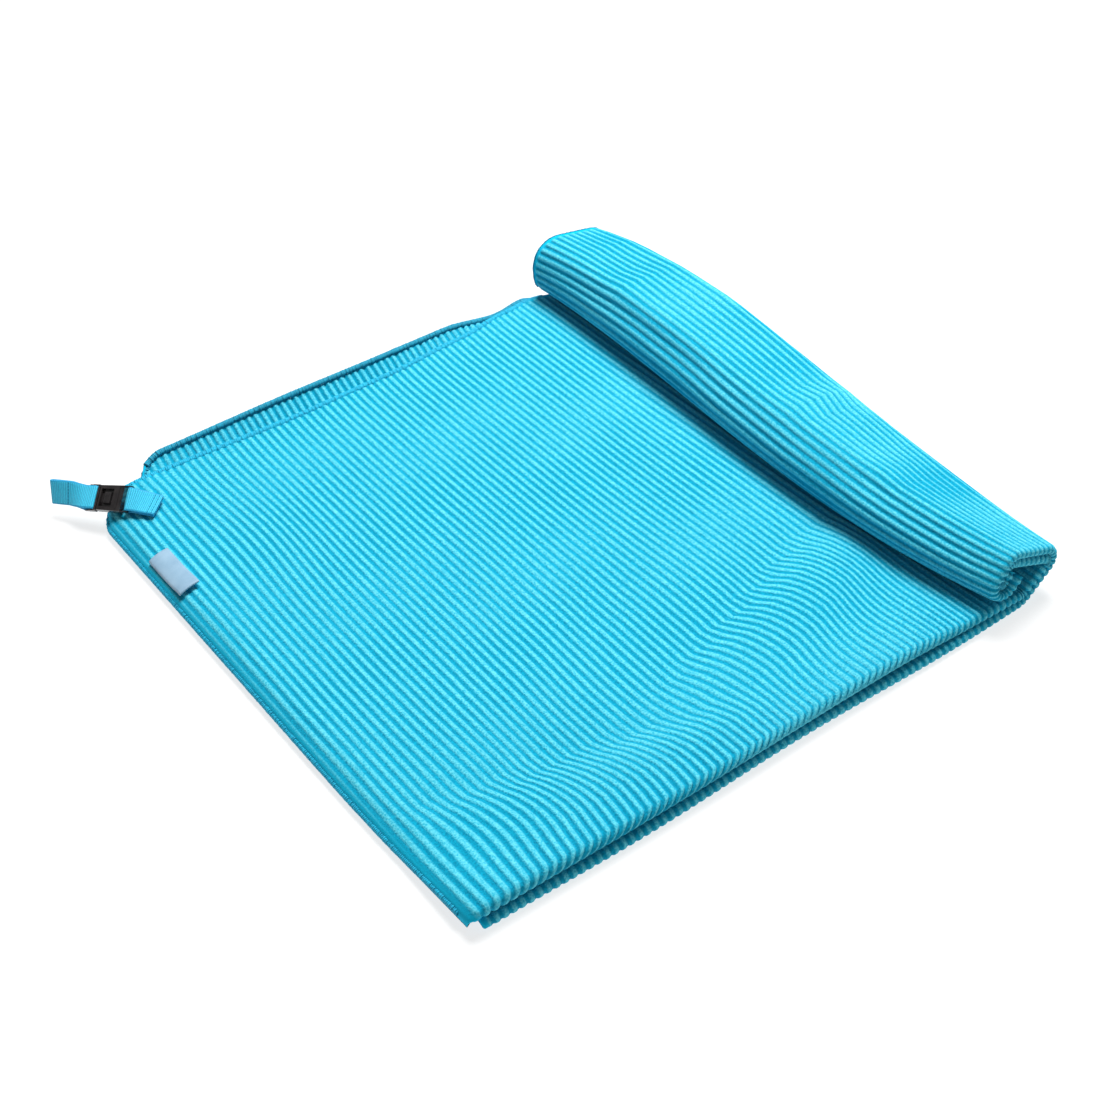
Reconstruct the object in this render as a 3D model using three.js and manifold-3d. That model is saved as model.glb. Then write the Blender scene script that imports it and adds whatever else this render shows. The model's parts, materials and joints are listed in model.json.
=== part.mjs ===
// A ribbed travel towel, folded back and forth into four layers, laid flat and
// rolled up from its far end, with a webbing hang loop, a small side-clip and
// a folded fabric label. Millimetres, +Z up. The origin lies in the middle of
// the flat part's underside: +X runs towards the roll, +Y towards the hems.

import * as THREE from "three";
import { mergeVertices } from "three/addons/utils/BufferGeometryUtils.js";
import Module from "manifold-3d";

// The cloth
const ribPitch = 3.5;
const clothThickness = 1.8;
const rolledThickness = 1.56;
const ribRelief = 0.42;
const hemThickening = 0.3;
const layerGap = 0.3;
const rolledGap = 0.34;

// The folded stack, before it is rolled
const nearEdge = -134.5;
const pathStart = -140;
const foldY = -153.5;
const stackSetback = 11;
const cornerSetback = 5.5;
const droopLength = 12;
const cornerDroopLength = 9;
const cornerLift = 2.6;
const openFoldLoft = 1.5;
const pressedFoldLoft = 0.12;
const hemWidth = 3.4;
const topCurlReach = 22;
const stripGap = 1.5;
const rollTouchX = 108;
const flatEnd = 118;

// Places across the stack, along Y, where the four layers share a track
const acrossPlaces = [-108, -68, -26, 24, 76];

// The path that the stack's underside follows bends round these rollers, each
// with its middle and radius, in four sections of the roll along Y
const sections = [
  {
    y: -150, toe: [124.5, 11, 11], shoulder: [136.3, 16.2, 7.8],
    crest: [118, 22.3, 9], heel: [114, 18.9, 8],
  },
  {
    y: -85, toe: [128.5, 12, 12], shoulder: [138.3, 17.6, 8.6],
    crest: [113, 22.6, 10.6], heel: [107.3, 20, 9.5],
  },
  {
    y: 0, toe: [131, 12, 12], shoulder: [141.2, 22.6, 10.4],
    crest: [115, 24, 11.5], heel: [109.3, 20.6, 9.8],
  },
  {
    y: 150, toe: [131, 12, 12], shoulder: [137.5, 22.6, 11],
    crest: [118.6, 24.4, 13], heel: [116, 19.8, 10],
  },
];
const bendNames = ["toe", "shoulder", "crest", "heel"];
const lastHeading = (405 * Math.PI) / 180;
const endRun = 5;
const headingReach = 1.5;
const woundLength = 126;

// Edges of the layers along X: the top layer's hem and its curl, the bottom
// layer's hem and its curl, and the turned fold between them
const margins = [
  { x: -134.5, topHem: 129, topCurl: 0, bottomHem: 131, bottomCurl: 0, hiddenFold: 116 },
  { x: -120, topHem: 135, topCurl: 1, bottomHem: 138, bottomCurl: 5, hiddenFold: 119 },
  { x: -95, topHem: 135, topCurl: 1.8, bottomHem: 147.5, bottomCurl: 9.5, hiddenFold: 120 },
  { x: -35, topHem: 132.5, topCurl: 2, bottomHem: 147, bottomCurl: 10.5, hiddenFold: 118 },
  { x: 14, topHem: 133.5, topCurl: 2, bottomHem: 147, bottomCurl: 10, hiddenFold: 118 },
  { x: 55, topHem: 137.5, topCurl: 1.5, bottomHem: 149.5, bottomCurl: 8, hiddenFold: 121 },
  { x: 86, topHem: 143, topCurl: 1, bottomHem: 150, bottomCurl: 3.5, hiddenFold: 127 },
  { x: 102, topHem: 146, topCurl: 0, bottomHem: 153, bottomCurl: 3, hiddenFold: 130 },
  { x: 122, topHem: 142, topCurl: 0, bottomHem: 145, bottomCurl: 0, hiddenFold: 130 },
];

// Soft rises in the top layer: centre, reach along X and Y, height, and how
// far the ribs are pushed along X there
const softRises = [
  { x: -95, y: -110, reachX: 16, reachY: 40, height: 0.5, shift: 1.5 },
  { x: -40, y: -95, reachX: 30, reachY: 26, height: 0.9, shift: -2 },
  { x: 35, y: -70, reachX: 24, reachY: 40, height: 0.7, shift: 1.6 },
  { x: 78, y: 20, reachX: 18, reachY: 50, height: 0.8, shift: -1.2 },
  { x: -90, y: 70, reachX: 22, reachY: 34, height: 0.7, shift: 2.4 },
  { x: -110, y: 121, reachX: 11, reachY: 13, height: 2.4, shift: 0 },
];

// The webbing, measured along a line that starts at the sewn end: how far along,
// how far aside, height of the upper face, and tilt of the width in degrees
const webbingWidth = 10.4;
const webbingThickness = 0.8;
const webbingStart = [-114.3, 109.8];
const webbingAim = [-0.613, 0.79];
const webbingLine = [
  { along: 0, aside: 0, top: 13, tilt: 14 },
  { along: 8, aside: -0.6, top: 14.3, tilt: 23 },
  { along: 11.8, aside: -1.1, top: 15.2, tilt: 32 },
  { along: 34.5, aside: -1.1, top: 12.75, tilt: 32 },
  { along: 42, aside: 0, top: 12.2, tilt: 55 },
  { along: 52, aside: 0, top: 11.3, tilt: 68 },
];
const pliesAtSeam = 1.1;
const pliesAtBar = 2.4;
const pliesAtLoopEnd = 1.7;
const seamEnd = 8;
const bandStep = 2.5;
const loopEnd = 50.4;

// The side-clip, measured from the edge of its bar that lies nearest the sewn end
const clipStart = 12.6;
const clipMiddle = clipStart + 8.8;
const clipHalfWidth = 5.9;
const armInside = 5.55;
const barSize = 0.8;
const barLow = -2;
const loopBarFrom = 17.6;

// Blocks of the clip: places along, half widths at both ends, low and high faces, bevel
const socketCase = { along: [3.4, 14.9], half: [5.9, 5.6], faces: [-3.3, 0], bevel: 0.35 };
const socketArms = { along: [0, 4.4], faces: [-2.5, -0.5] };
const ridge = { starts: [3.9, 5.3], length: 0.5, half: [4.7, 4.7], faces: [-0.5, 0.22], bevel: 0.1 };
const cavity = { along: [5, 15.9], half: [4.8, 4.8], faces: [-2.65, -1.2], bevel: 0 };
const latchWindow = { along: [8, 14], half: [4, 4], faces: [-1.7, 1], bevel: 0 };
const tonguePlate = { along: [5.4, 16], half: [4.2, 4.4], faces: [-2.3, -1.5], bevel: 0.15 };
const tongueLatch = { along: [9.1, 12.3], half: [2.6, 2.6], faces: [-2, -0.1], bevel: 0.45 };
const tongueBeam = { along: [15.2, 16.2], half: [5.7, 5.8], faces: [-2.9, -0.05], bevel: 0.2 };
const tongueArms = { along: [15.6, 19], faces: [-2.7, -0.7] };
const armTips = { along: [18.6, 20.9], faces: [-2.5, -1.1] };

// The label, folded once across, by its edges along X and Y
const label = {
  near: -132.1, far: -123, root: 85, fold: 56.4,
  ply: 0.4, apart: 0.7, clear: 0.45, lift: 1.2,
};

function mix(a, b, t) {
  return a + (b - a) * t;
}

// Rises smoothly from 0 at one value to 1 at another
function ease(value, from, to) {
  const t = Math.min(1, Math.max(0, (value - from) / (to - from)));
  return t * t * (3 - 2 * t);
}

function marginAt(column, s) {
  let row = 0;
  while (row < margins.length - 2 && s > margins[row + 1].x) {
    row += 1;
  }
  const a = margins[row];
  const b = margins[row + 1];
  return mix(a[column], b[column], ease(s, a.x, b.x));
}

// The path round one section's rollers, as straight and bent pieces
function pathRound(section) {
  const pieces = [];
  let from = 0;
  let x = pathStart;
  let z = 0;
  let heading = 0;
  const add = (length, radius) => {
    pieces.push({ x, z, heading, from, radius });
    from += length;
  };
  const rollers = bendNames.map((name) => section[name]);
  rollers.forEach(([centreX, centreZ, radius], i) => {
    const runX = centreX + radius * Math.sin(heading) - x;
    const runZ = centreZ - radius * Math.cos(heading) - z;
    add(Math.hypot(runX, runZ), 0);
    x += runX;
    z += runZ;
    let turn = lastHeading - heading;
    if (i < rollers.length - 1) {
      const [nextX, nextZ, nextRadius] = rollers[i + 1];
      const apart = Math.hypot(nextX - centreX, nextZ - centreZ);
      const lean = Math.asin((nextRadius - radius) / apart);
      const goal = Math.atan2(nextZ - centreZ, nextX - centreX) - lean;
      turn = (goal - heading + 4 * Math.PI) % (2 * Math.PI);
    }
    add(radius * turn, radius);
    heading += turn;
    x = centreX + radius * Math.sin(heading);
    z = centreZ - radius * Math.cos(heading);
  });
  const flat = flatEnd - pathStart;
  const takeUp = (from + endRun - flat) / woundLength;
  add(endRun, 0);
  return (s) => {
    const distance = Math.min(s - pathStart, flat) + Math.max(0, s - flatEnd) * takeUp;
    const piece = pieces.findLast((one) => distance >= one.from) ?? pieces[0];
    const along = distance - piece.from;
    if (piece.radius === 0) {
      return [
        piece.x + Math.cos(piece.heading) * along,
        piece.z + Math.sin(piece.heading) * along,
        piece.heading,
      ];
    }
    const turned = piece.heading + along / piece.radius;
    return [
      piece.x + (Math.sin(turned) - Math.sin(piece.heading)) * piece.radius,
      piece.z - (Math.cos(turned) - Math.cos(piece.heading)) * piece.radius,
      turned,
    ];
  };
}

const paths = sections.map(pathRound);
const towelEnd = flatEnd + woundLength;

// Share of each section at a place across the roll, for a smooth curve through all
function sectionShares(y) {
  return sections.map((one) => sections.reduce(
    (share, other) => (other === one ? share : share * (y - other.y) / (one.y - other.y)),
    1,
  ));
}

// A point of the stack: s along the towel, y across it, h above the path
function place(s, y, h) {
  const shares = sectionShares(Math.min(150, Math.max(-154, y)));
  const onPath = (distance) => shares.reduce(([x, z], share, i) => {
    const [nextX, nextZ] = paths[i](distance);
    return [x + share * nextX, z + share * nextZ];
  }, [0, 0]);
  const [x, z] = onPath(s);
  const [behindX, behindZ] = onPath(s - headingReach);
  const [aheadX, aheadZ] = onPath(s + headingReach);
  const run = Math.hypot(aheadX - behindX, aheadZ - behindZ);
  return [x - (h * (aheadZ - behindZ)) / run, y, z + (h * (aheadX - behindX)) / run];
}

// How far a place is into the roll, from 0 on the flat part to 1
function rolledShare(s) {
  return ease(s, rollTouchX - 12, 136);
}

function thicknessAt(s) {
  return mix(clothThickness, rolledThickness, rolledShare(s));
}

function riseAt(s, y, column) {
  let sum = 0;
  for (const rise of softRises) {
    const dx = (s - rise.x) / rise.reachX;
    const dy = (y - rise.y) / rise.reachY;
    sum += rise[column] * Math.exp(-dx * dx - dy * dy);
  }
  return sum;
}

// Heights of the middles of the four layers above the path, bottom first
function layerHeights(s, y) {
  const rolled = rolledShare(s);
  const thickness = thicknessAt(s);
  const step = thickness + mix(layerGap, rolledGap, rolled);
  const frontLoft = 1 - ease(y, foldY, foldY + 42);
  const loft = mix(openFoldLoft, pressedFoldLoft, ease(s, 55, rollTouchX)) * frontLoft;
  const hiddenFold = marginAt("hiddenFold", s);
  const backLoft = mix(0.5, 0, rolled) * ease(y, hiddenFold - 40, hiddenFold);

  const stripReach = marginAt("bottomHem", s) - hiddenFold - stripGap;
  const stripShare = Math.max(0, (y - hiddenFold - stripGap) / stripReach);
  const h4 = thickness / 2 + marginAt("bottomCurl", s) * stripShare ** 2;
  const h3 = thickness / 2 + step + loft;
  const h2 = h3 + step + backLoft;

  const curlShare = Math.max(0, 1 - (marginAt("topHem", s) - y) / topCurlReach);
  const rise = riseAt(s, y, "height") * (1 - rolled) + marginAt("topCurl", s) * curlShare ** 2;
  const top = h2 + step + loft + rise;

  // The top layer drapes over the near ends of the others, down to the surface
  const atFront = 1 - ease(y, -150, -98);
  const hemHeight = thickness / 2 + cornerLift * atFront;
  const droop = mix(droopLength, cornerDroopLength, atFront);
  const t = Math.min(1, Math.max(0, (s - nearHemAt(y)) / droop));
  const h1 = mix(hemHeight, top, Math.sqrt(1 - (1 - t) * (1 - t)));
  return [h4, h3, Math.min(h2, h1 - step - 0.5 * (1 - t)), h1];
}

// The near hem bows out a little in its middle and turns in at the corner
function nearHemAt(y) {
  const bow = 1.6 * ease(y, -153, -60);
  const corner = 6 * ease(y, 118, 137);
  return nearEdge + 1.6 - bow + corner;
}

// Where a layer starts at its near end: 1 for the top layer to 4 for the bottom
function layerStart(layer, y) {
  if (layer === 1) {
    return nearHemAt(y);
  }
  const atFront = 1 - ease(y, foldY, -110);
  const setback = mix(stackSetback, cornerSetback, atFront) + (layer - 2) * 0.6;
  const roundCorner = layer === 4 ? 34 * ease(y, 112, 150) : 0;
  return nearEdge + setback + roundCorner;
}

// The outermost Y of the fold below a layer
function foldEdge(upper, s) {
  if (upper === 2) {
    return marginAt("hiddenFold", s);
  }
  return upper === 1 ? foldY + 0.8 + 0.5 * Math.sin(s / 31) : foldY + 0.7 * Math.sin(s / 23 + 1);
}

// The round of that fold: its middle's height and the radius of the cloth's middle
function foldRound(upper, s) {
  const heights = layerHeights(s, foldEdge(upper, s));
  const above = heights[4 - upper];
  const below = heights[3 - upper];
  return { height: (above + below) / 2, radius: (above - below) / 2 };
}

// Where the flat layer gives way to the round of its fold
function foldInset(upper, s) {
  const reach = foldRound(upper, s).radius + thicknessAt(s) / 2;
  return foldEdge(upper, s) + (upper === 2 ? -reach : reach);
}

const ribStep = ribPitch / 2;
const firstRib = Math.ceil(nearEdge / ribStep);

// Rows along a track stand two to a rib where ribs show, and wider apart elsewhere
const upperFoldRows = (s) => (s < 126 ? 1 : 3);
const lowerFoldRows = (s) => (s < 228 ? 1 : 3);
const edgeRows = (s) => (s < -114 ? 2 : s < rollTouchX ? 10 : 3);
const hiddenRows = (s) => (s < -114 ? 2 : s < rollTouchX ? 20 : 3);
const flatRows = (s) => (s < flatEnd ? 1 : 3);
const stripRows = (s) => (s < rollTouchX ? 1 : 3);
const rollRows = (s) => (s > 122 && s < 228 ? 1 : hiddenRows(s));

const ribsOnFlat = (s) => ribRelief * (1 - ease(s, rollTouchX + 4, rollTouchX + 14));
const ribsOnRoll = (s) => ribRelief * ease(s, 131, 141);
const ribsOnStrip = (s) => ribRelief * (1 - ease(s, 90, rollTouchX));
const noRibs = () => 0;

// Places of the rows along one track, with the side of the rib each lies on
function rowsBetween(from, rowsApart) {
  const rows = [{ s: from, rib: 0 }];
  const clear = 1.1;
  for (let k = firstRib; k * ribStep < towelEnd - clear; k += 1) {
    const s = k * ribStep;
    if (s > from + clear && k % rowsApart(s) === 0) {
      rows.push({ s, rib: k % 2 === 0 ? 1 : -1 });
    }
  }
  rows.push({ s: towelEnd, rib: 0 });
  return rows;
}

// Tracks over the layers follow these lines, from the top hem to the bottom hem
const shared = acrossPlaces.map((y) => () => y);
const sharedBack = shared.toReversed();
const topHem = (s) => marginAt("topHem", s);
const bottomHem = (s) => marginAt("bottomHem", s);
const stripAt = (share) => (s) => mix(marginAt("hiddenFold", s) + stripGap, bottomHem(s) - hemWidth, share);
const layerLines = {
  1: [topHem, (s) => topHem(s) - hemWidth, ...sharedBack, (s) => foldInset(1, s)],
  2: [(s) => foldInset(1, s), ...shared, (s) => foldInset(2, s)],
  3: [(s) => foldInset(2, s), ...sharedBack, (s) => foldInset(3, s)],
  4: [(s) => foldInset(3, s), ...shared, stripAt(0), stripAt(0.5), stripAt(1), bottomHem],
};

// A track over one layer. Side +1 is the face that is outside in the top layer
// and in the two front folds, and -1 is the other face
function layerTrack(layer, index, side) {
  const line = layerLines[layer][index];
  const last = layerLines[layer].length - 1;
  const onHem = (layer === 1 && index < 2) || (layer === 4 && index > last - 2);
  const onEdge = index === 0 || index === last || onHem;
  const facing = layer % 2 === 1 ? side : -side;
  let rowsApart = onEdge ? edgeRows : hiddenRows;
  let ribs = noRibs;
  if (layer === 1 && side === 1) {
    rowsApart = flatRows;
    ribs = onHem ? noRibs : ribsOnFlat;
  } else if (layer === 4 && side === 1) {
    rowsApart = rollRows;
    ribs = onHem ? noRibs : ribsOnRoll;
  } else if (layer === 4 && index > last - 4) {
    rowsApart = stripRows;
    ribs = onHem || index === last - 3 ? noRibs : ribsOnStrip;
  }
  const at = (s, rib) => {
    const y = line(s);
    const nearHem = layer === 1 && s < nearHemAt(y) + hemWidth;
    const thickening = facing === 1 && (onHem || nearHem) ? hemThickening : 0;
    const relief = nearHem ? 0 : ribs(s) * rib;
    return [y, layerHeights(s, y)[4 - layer] + facing * (thicknessAt(s) / 2 + thickening + relief)];
  };
  const start = layerStart(layer, line(nearEdge));
  return { order: layer * 2 + index / last, start, rowsApart, at, layer };
}

// A track round the fold below a layer, at an angle from the fold's top
function foldTrack(upper, angle, side) {
  const towards = upper === 2 ? 1 : -1;
  const bulging = upper === 2 ? -side : side;
  const ribbed = bulging === 1 && upper !== 2;
  const at = (s, rib) => {
    const { height, radius } = foldRound(upper, s);
    const thickness = thicknessAt(s);
    const reach = radius + bulging * (thickness / 2) + (ribbed ? ribRelief * rib : 0);
    const middleY = foldEdge(upper, s) - towards * (radius + thickness / 2);
    return [middleY + towards * reach * Math.sin(angle), height + reach * Math.cos(angle)];
  };
  const share = angle / Math.PI;
  const y = foldEdge(upper, nearEdge);
  const start = mix(layerStart(upper, y), layerStart(upper + 1, y), share);
  const ribbedRows = upper === 1 ? upperFoldRows : lowerFoldRows;
  return { order: upper * 2 + 1 + share, start, rowsApart: ribbed ? ribbedRows : edgeRows, at, layer: 0 };
}

const eighthTurns = [Math.PI / 4, Math.PI / 2, (3 * Math.PI) / 4];
const quarterTurn = [Math.PI / 2];

function faceTracks(side) {
  const tracks = [];
  for (const layer of [1, 2, 3, 4]) {
    layerLines[layer].forEach((line, index) => tracks.push(layerTrack(layer, index, side)));
    if (layer < 4) {
      const bulging = layer === 2 ? side === -1 : side === 1;
      const angles = bulging ? eighthTurns : quarterTurn;
      angles.forEach((angle) => tracks.push(foldTrack(layer, angle, side)));
    }
  }
  return tracks;
}

// Joins two neighbouring rows of points whose places along the row differ
function joinRows(a, b, key, triangles) {
  let i = 0;
  let j = 0;
  while (i < a.length - 1 || j < b.length - 1) {
    const lead = i < a.length - 1 && j < b.length - 1 ? key(a[i + 1]) - key(b[j + 1]) : 0;
    const aFirst = lead < 0 || (lead === 0 && a[i].y > b[j].y);
    const stepA = j === b.length - 1 || (i < a.length - 1 && aFirst);
    if (stepA) {
      triangles.push([a[i].index, a[i + 1].index, b[j].index]);
      i += 1;
    } else {
      triangles.push([a[i].index, b[j + 1].index, b[j].index]);
      j += 1;
    }
  }
}

function solidFrom(points, triangles) {
  const corner = (index) => new THREE.Vector3(...points[index]);
  let volume = 0;
  for (const [a, b, c] of triangles) {
    volume += corner(a).dot(corner(b).cross(corner(c))) / 6;
  }
  const order = volume < 0 ? triangles.map(([a, b, c]) => [a, c, b]) : triangles;
  const geometry = new THREE.BufferGeometry();
  geometry.setAttribute("position", new THREE.Float32BufferAttribute(points.flat(), 3));
  geometry.setIndex(order.flat());
  geometry.computeVertexNormals();
  return geometry;
}

// Ribs of the top layer bend along X where the cloth is pushed
function swayAt(s, y) {
  const fade = ease(s, nearEdge + 4, nearEdge + 30) * (1 - ease(s, 90, 112)) * ease(y, -150, -120);
  return riseAt(s, y, "shift") * fade;
}

function towelGeometry() {
  const points = [];
  const triangles = [];
  const lay = (track) => rowsBetween(track.start, track.rowsApart).map(({ s, rib }) => {
    const [y, h] = track.at(s, rib);
    const shift = track.layer === 1 ? swayAt(s, y) : 0;
    points.push(place(s + shift, y, h));
    return { s, y, order: track.order, index: points.length - 1 };
  });
  const outer = faceTracks(1).map(lay);
  const inner = faceTracks(-1).map(lay);
  const loop = [...outer, ...inner.toReversed()];
  loop.forEach((rows, i) => {
    joinRows(rows, loop[(i + 1) % loop.length], (point) => point.s, triangles);
  });
  const nearEnd = (rows) => rows[0];
  const farEnd = (rows) => rows[rows.length - 1];
  joinRows(outer.map(nearEnd), inner.map(nearEnd), (point) => point.order, triangles);
  joinRows(inner.map(farEnd), outer.map(farEnd), (point) => point.order, triangles);
  return solidFrom(points, triangles);
}

// How a band climbs along its line and tilts across it, as three directions
function bandAxes(climb, tiltDegrees) {
  const [aimX, aimY] = webbingAim;
  const tilt = THREE.MathUtils.degToRad(tiltDegrees);
  const up = new THREE.Vector3(0, 0, 1);
  const leaning = (x, y, angle) => new THREE.Vector3(x, y, 0)
    .multiplyScalar(Math.cos(angle))
    .addScaledVector(up, Math.sin(angle));
  const along = leaning(aimX, aimY, climb);
  const out = leaning(aimY, -aimX, tilt).cross(along).normalize();
  return { along, across: along.clone().cross(out), out };
}

function webbingAt(column, along) {
  let row = 0;
  while (row < webbingLine.length - 2 && along > webbingLine[row + 1].along) {
    row += 1;
  }
  const a = webbingLine[row];
  const b = webbingLine[row + 1];
  return mix(a[column], b[column], (along - a.along) / (b.along - a.along));
}

// The directions and the middle of the webbing's upper face at a place along it
function webbingFrame(along) {
  const climb = Math.atan((webbingAt("top", along + 1) - webbingAt("top", along - 1)) / 2);
  const axes = bandAxes(climb, webbingAt("tilt", along));
  const aside = webbingAt("aside", along);
  const [x, y] = webbingStart;
  const [aimX, aimY] = webbingAim;
  const middle = new THREE.Vector3(x + aimX * along + aimY * aside, y + aimY * along - aimX * aside, 0);
  return { ...axes, middle: middle.setZ(webbingAt("top", along)) };
}

// A point by the webbing: along it, across it, and depth below its upper face
function onWebbing(along, across, depth) {
  const frame = webbingFrame(along);
  return frame.middle.addScaledVector(frame.across, across).addScaledVector(frame.out, -depth).toArray();
}

// Sweeps a band, given by its two faces, sideways through several places across it
function sweptBand(outer, inner, closed, places, at) {
  const count = outer.length;
  const faces = [...outer, ...inner];
  const points = places.flatMap((across) => faces.map(([along, depth]) => at(along, across, depth)));
  const onOuter = (row, i) => row * 2 * count + (i % count);
  const onInner = (row, i) => onOuter(row, i) + count;
  const triangles = [];
  const quad = (a, b, c, d) => triangles.push([a, b, c], [a, c, d]);
  const lastRow = places.length - 1;
  const last = closed ? count : count - 1;
  for (let i = 0; i < last; i += 1) {
    const next = i + 1;
    for (let row = 0; row < lastRow; row += 1) {
      quad(onOuter(row, i), onOuter(row, next), onOuter(row + 1, next), onOuter(row + 1, i));
      quad(onInner(row, next), onInner(row, i), onInner(row + 1, i), onInner(row + 1, next));
    }
    quad(onOuter(0, next), onOuter(0, i), onInner(0, i), onInner(0, next));
    quad(onOuter(lastRow, i), onOuter(lastRow, next), onInner(lastRow, next), onInner(lastRow, i));
  }
  for (let row = 0; row < lastRow && !closed; row += 1) {
    quad(onOuter(row, 0), onOuter(row + 1, 0), onInner(row + 1, 0), onInner(row, 0));
    quad(onOuter(row + 1, last), onOuter(row, last), onInner(row, last), onInner(row + 1, last));
  }
  return solidFrom(points, triangles);
}

function arc(along, depth, radius, from, to) {
  const steps = 8;
  return Array.from({ length: steps + 1 }, (unused, i) => {
    const angle = THREE.MathUtils.degToRad(mix(from, to, i / steps));
    return [along + radius * Math.cos(angle), depth + radius * Math.sin(angle)];
  });
}

// Points from one corner towards the next, without the second corner
function runTo(from, to) {
  const steps = Math.max(1, Math.round(Math.abs(to[0] - from[0]) / bandStep));
  const between = (share) => from.map((value, axis) => mix(value, to[axis], share));
  return Array.from({ length: steps }, (unused, i) => between(i / steps));
}

const halfPly = webbingThickness / 2;
const acrossWebbing = [-webbingWidth / 2, 0, webbingWidth / 2];

// The sewn tab: two plies from the seam, round the socket's bar
function tabGeometry() {
  const turnAlong = clipStart + barSize / 2;
  const turnDepth = halfPly + pliesAtBar / 2;
  const face = (offset) => {
    const low = halfPly + pliesAtSeam + offset;
    const high = halfPly - offset;
    return [
      ...runTo([0, low], [seamEnd, low]),
      [seamEnd, low],
      ...arc(turnAlong, turnDepth, pliesAtBar / 2 + offset, 90, -90),
      ...runTo([seamEnd, high], [0, high]),
      [0, high],
    ];
  };
  return sweptBand(face(halfPly), face(-halfPly), false, acrossWebbing, onWebbing);
}

// The loop: a closed band from the tongue's bar to its turned end
function loopGeometry() {
  const barAlong = clipStart + loopBarFrom + barSize / 2;
  const ring = (offset) => {
    const atBar = pliesAtBar / 2 + offset;
    const atEnd = pliesAtLoopEnd / 2 + offset;
    const high = halfPly - offset;
    const barTurn = arc(barAlong, halfPly + pliesAtBar / 2, atBar, 90, 270);
    const endTurn = arc(loopEnd, halfPly + pliesAtLoopEnd / 2, atEnd, -90, 90);
    const upper = runTo([barAlong, high], [loopEnd, high]).slice(1);
    const lower = runTo(endTurn.at(-1), barTurn[0]).slice(1);
    return [...barTurn, ...upper, ...endTurn, ...lower];
  };
  return sweptBand(ring(halfPly), ring(-halfPly), true, acrossWebbing, onWebbing);
}

const wasm = await Module();
wasm.setup();

function block({ along: [from, to], half: [halfFrom, halfTo], faces: [low, high], bevel }) {
  const shape = new THREE.Shape();
  shape.moveTo(from, -halfFrom);
  shape.lineTo(to, -halfTo);
  shape.lineTo(to, halfTo);
  shape.lineTo(from, halfFrom);
  shape.closePath();
  const geometry = new THREE.ExtrudeGeometry(shape, {
    depth: high - low - 2 * bevel,
    bevelEnabled: bevel > 0,
    bevelThickness: bevel,
    bevelSize: bevel,
    bevelOffset: -bevel,
    bevelSegments: 2,
  });
  return geometry.translate(0, 0, low + bevel);
}

function toSolid(geometry) {
  geometry.deleteAttribute("uv");
  geometry.deleteAttribute("normal");
  const merged = mergeVertices(geometry);
  return new wasm.Manifold(new wasm.Mesh({
    numProp: 3,
    vertProperties: merged.attributes.position.array,
    triVerts: new Uint32Array(merged.index.array),
  }));
}

function fromSolid(solid) {
  const { vertProperties, triVerts } = solid.getMesh();
  const geometry = new THREE.BufferGeometry();
  geometry.setAttribute("position", new THREE.BufferAttribute(vertProperties, 3));
  geometry.setIndex(new THREE.BufferAttribute(triVerts, 1));
  geometry.computeVertexNormals();
  return geometry;
}

const joined = (geometries) => geometries.map(toSolid).reduce((all, one) => all.add(one));

// The pair of arms that hold a bar, one on each side of the webbing
function arms({ along, faces }) {
  const half = (clipHalfWidth - armInside) / 2;
  const arm = () => block({ along, half: [half, half], faces, bevel: 0 });
  return [-1, 1].map((side) => arm().translate(0, side * (armInside + half), 0));
}

function barAt(from) {
  const length = armInside + clipHalfWidth;
  const bar = new THREE.CylinderGeometry(barSize / 2, barSize / 2, length, 12);
  return bar.translate(from + barSize / 2, 0, barLow + barSize / 2);
}

// The socket: a hollow case with a window, grip ridges and the tab's bar
function socketGeometry() {
  const { starts, length, ...ridgeShape } = ridge;
  const ridges = starts.map((from) => block({ ...ridgeShape, along: [from, from + length] }));
  const whole = joined([block(socketCase), ...ridges, ...arms(socketArms), barAt(0)]);
  const cuts = [cavity, latchWindow].map((cut) => toSolid(block(cut)));
  return fromSolid(cuts.reduce((rest, cut) => rest.subtract(cut), whole));
}

// The tongue: a plate with a raised latch, a cross beam and tapering arms
function tongueGeometry() {
  const blocks = [tonguePlate, tongueLatch, tongueBeam].map(block);
  return fromSolid(joined([...blocks, ...arms(tongueArms), barAt(loopBarFrom), ...arms(armTips)]));
}

// Turns the clip's own directions to its place on the webbing
function placeClip(mesh) {
  const frame = webbingFrame(clipMiddle);
  const turned = new THREE.Matrix4().makeBasis(frame.along, frame.across.negate(), frame.out);
  const start = onWebbing(clipStart, 0, 0);
  mesh.applyMatrix4(turned.setPosition(...start));
}

// The label lies over the top layer's ribs and lifts towards its fold
function labelGeometry() {
  const { near, far, root, fold, ply, apart, clear, lift } = label;
  const turn = fold + apart / 2 + ply / 2;
  const face = (offset) => {
    const low = ply / 2 - offset;
    const high = ply / 2 + apart + offset;
    return [
      ...runTo([root, low], [turn, low]),
      ...arc(turn, (low + high) / 2, apart / 2 + offset, 270, 90),
      ...runTo([turn, high], [root, high]).slice(1),
      [root, high],
    ];
  };
  const at = (y, s, height) => {
    const rest = layerHeights(s, y)[3] + clothThickness / 2 + ribRelief + clear;
    return place(s, y, rest + height + lift * ease(root - y, 12, root - fold) ** 1.5);
  };
  const across = Array.from({ length: 6 }, (unused, i) => mix(near, far, i / 5));
  return sweptBand(face(ply / 2), face(-ply / 2), false, across, at);
}

function addPiece(name, geometry, color, roughness) {
  const mesh = new THREE.Mesh(geometry, new THREE.MeshStandardMaterial({ color, roughness, metalness: 0 }));
  mesh.name = name;
  group.add(mesh);
  return mesh;
}

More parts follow.
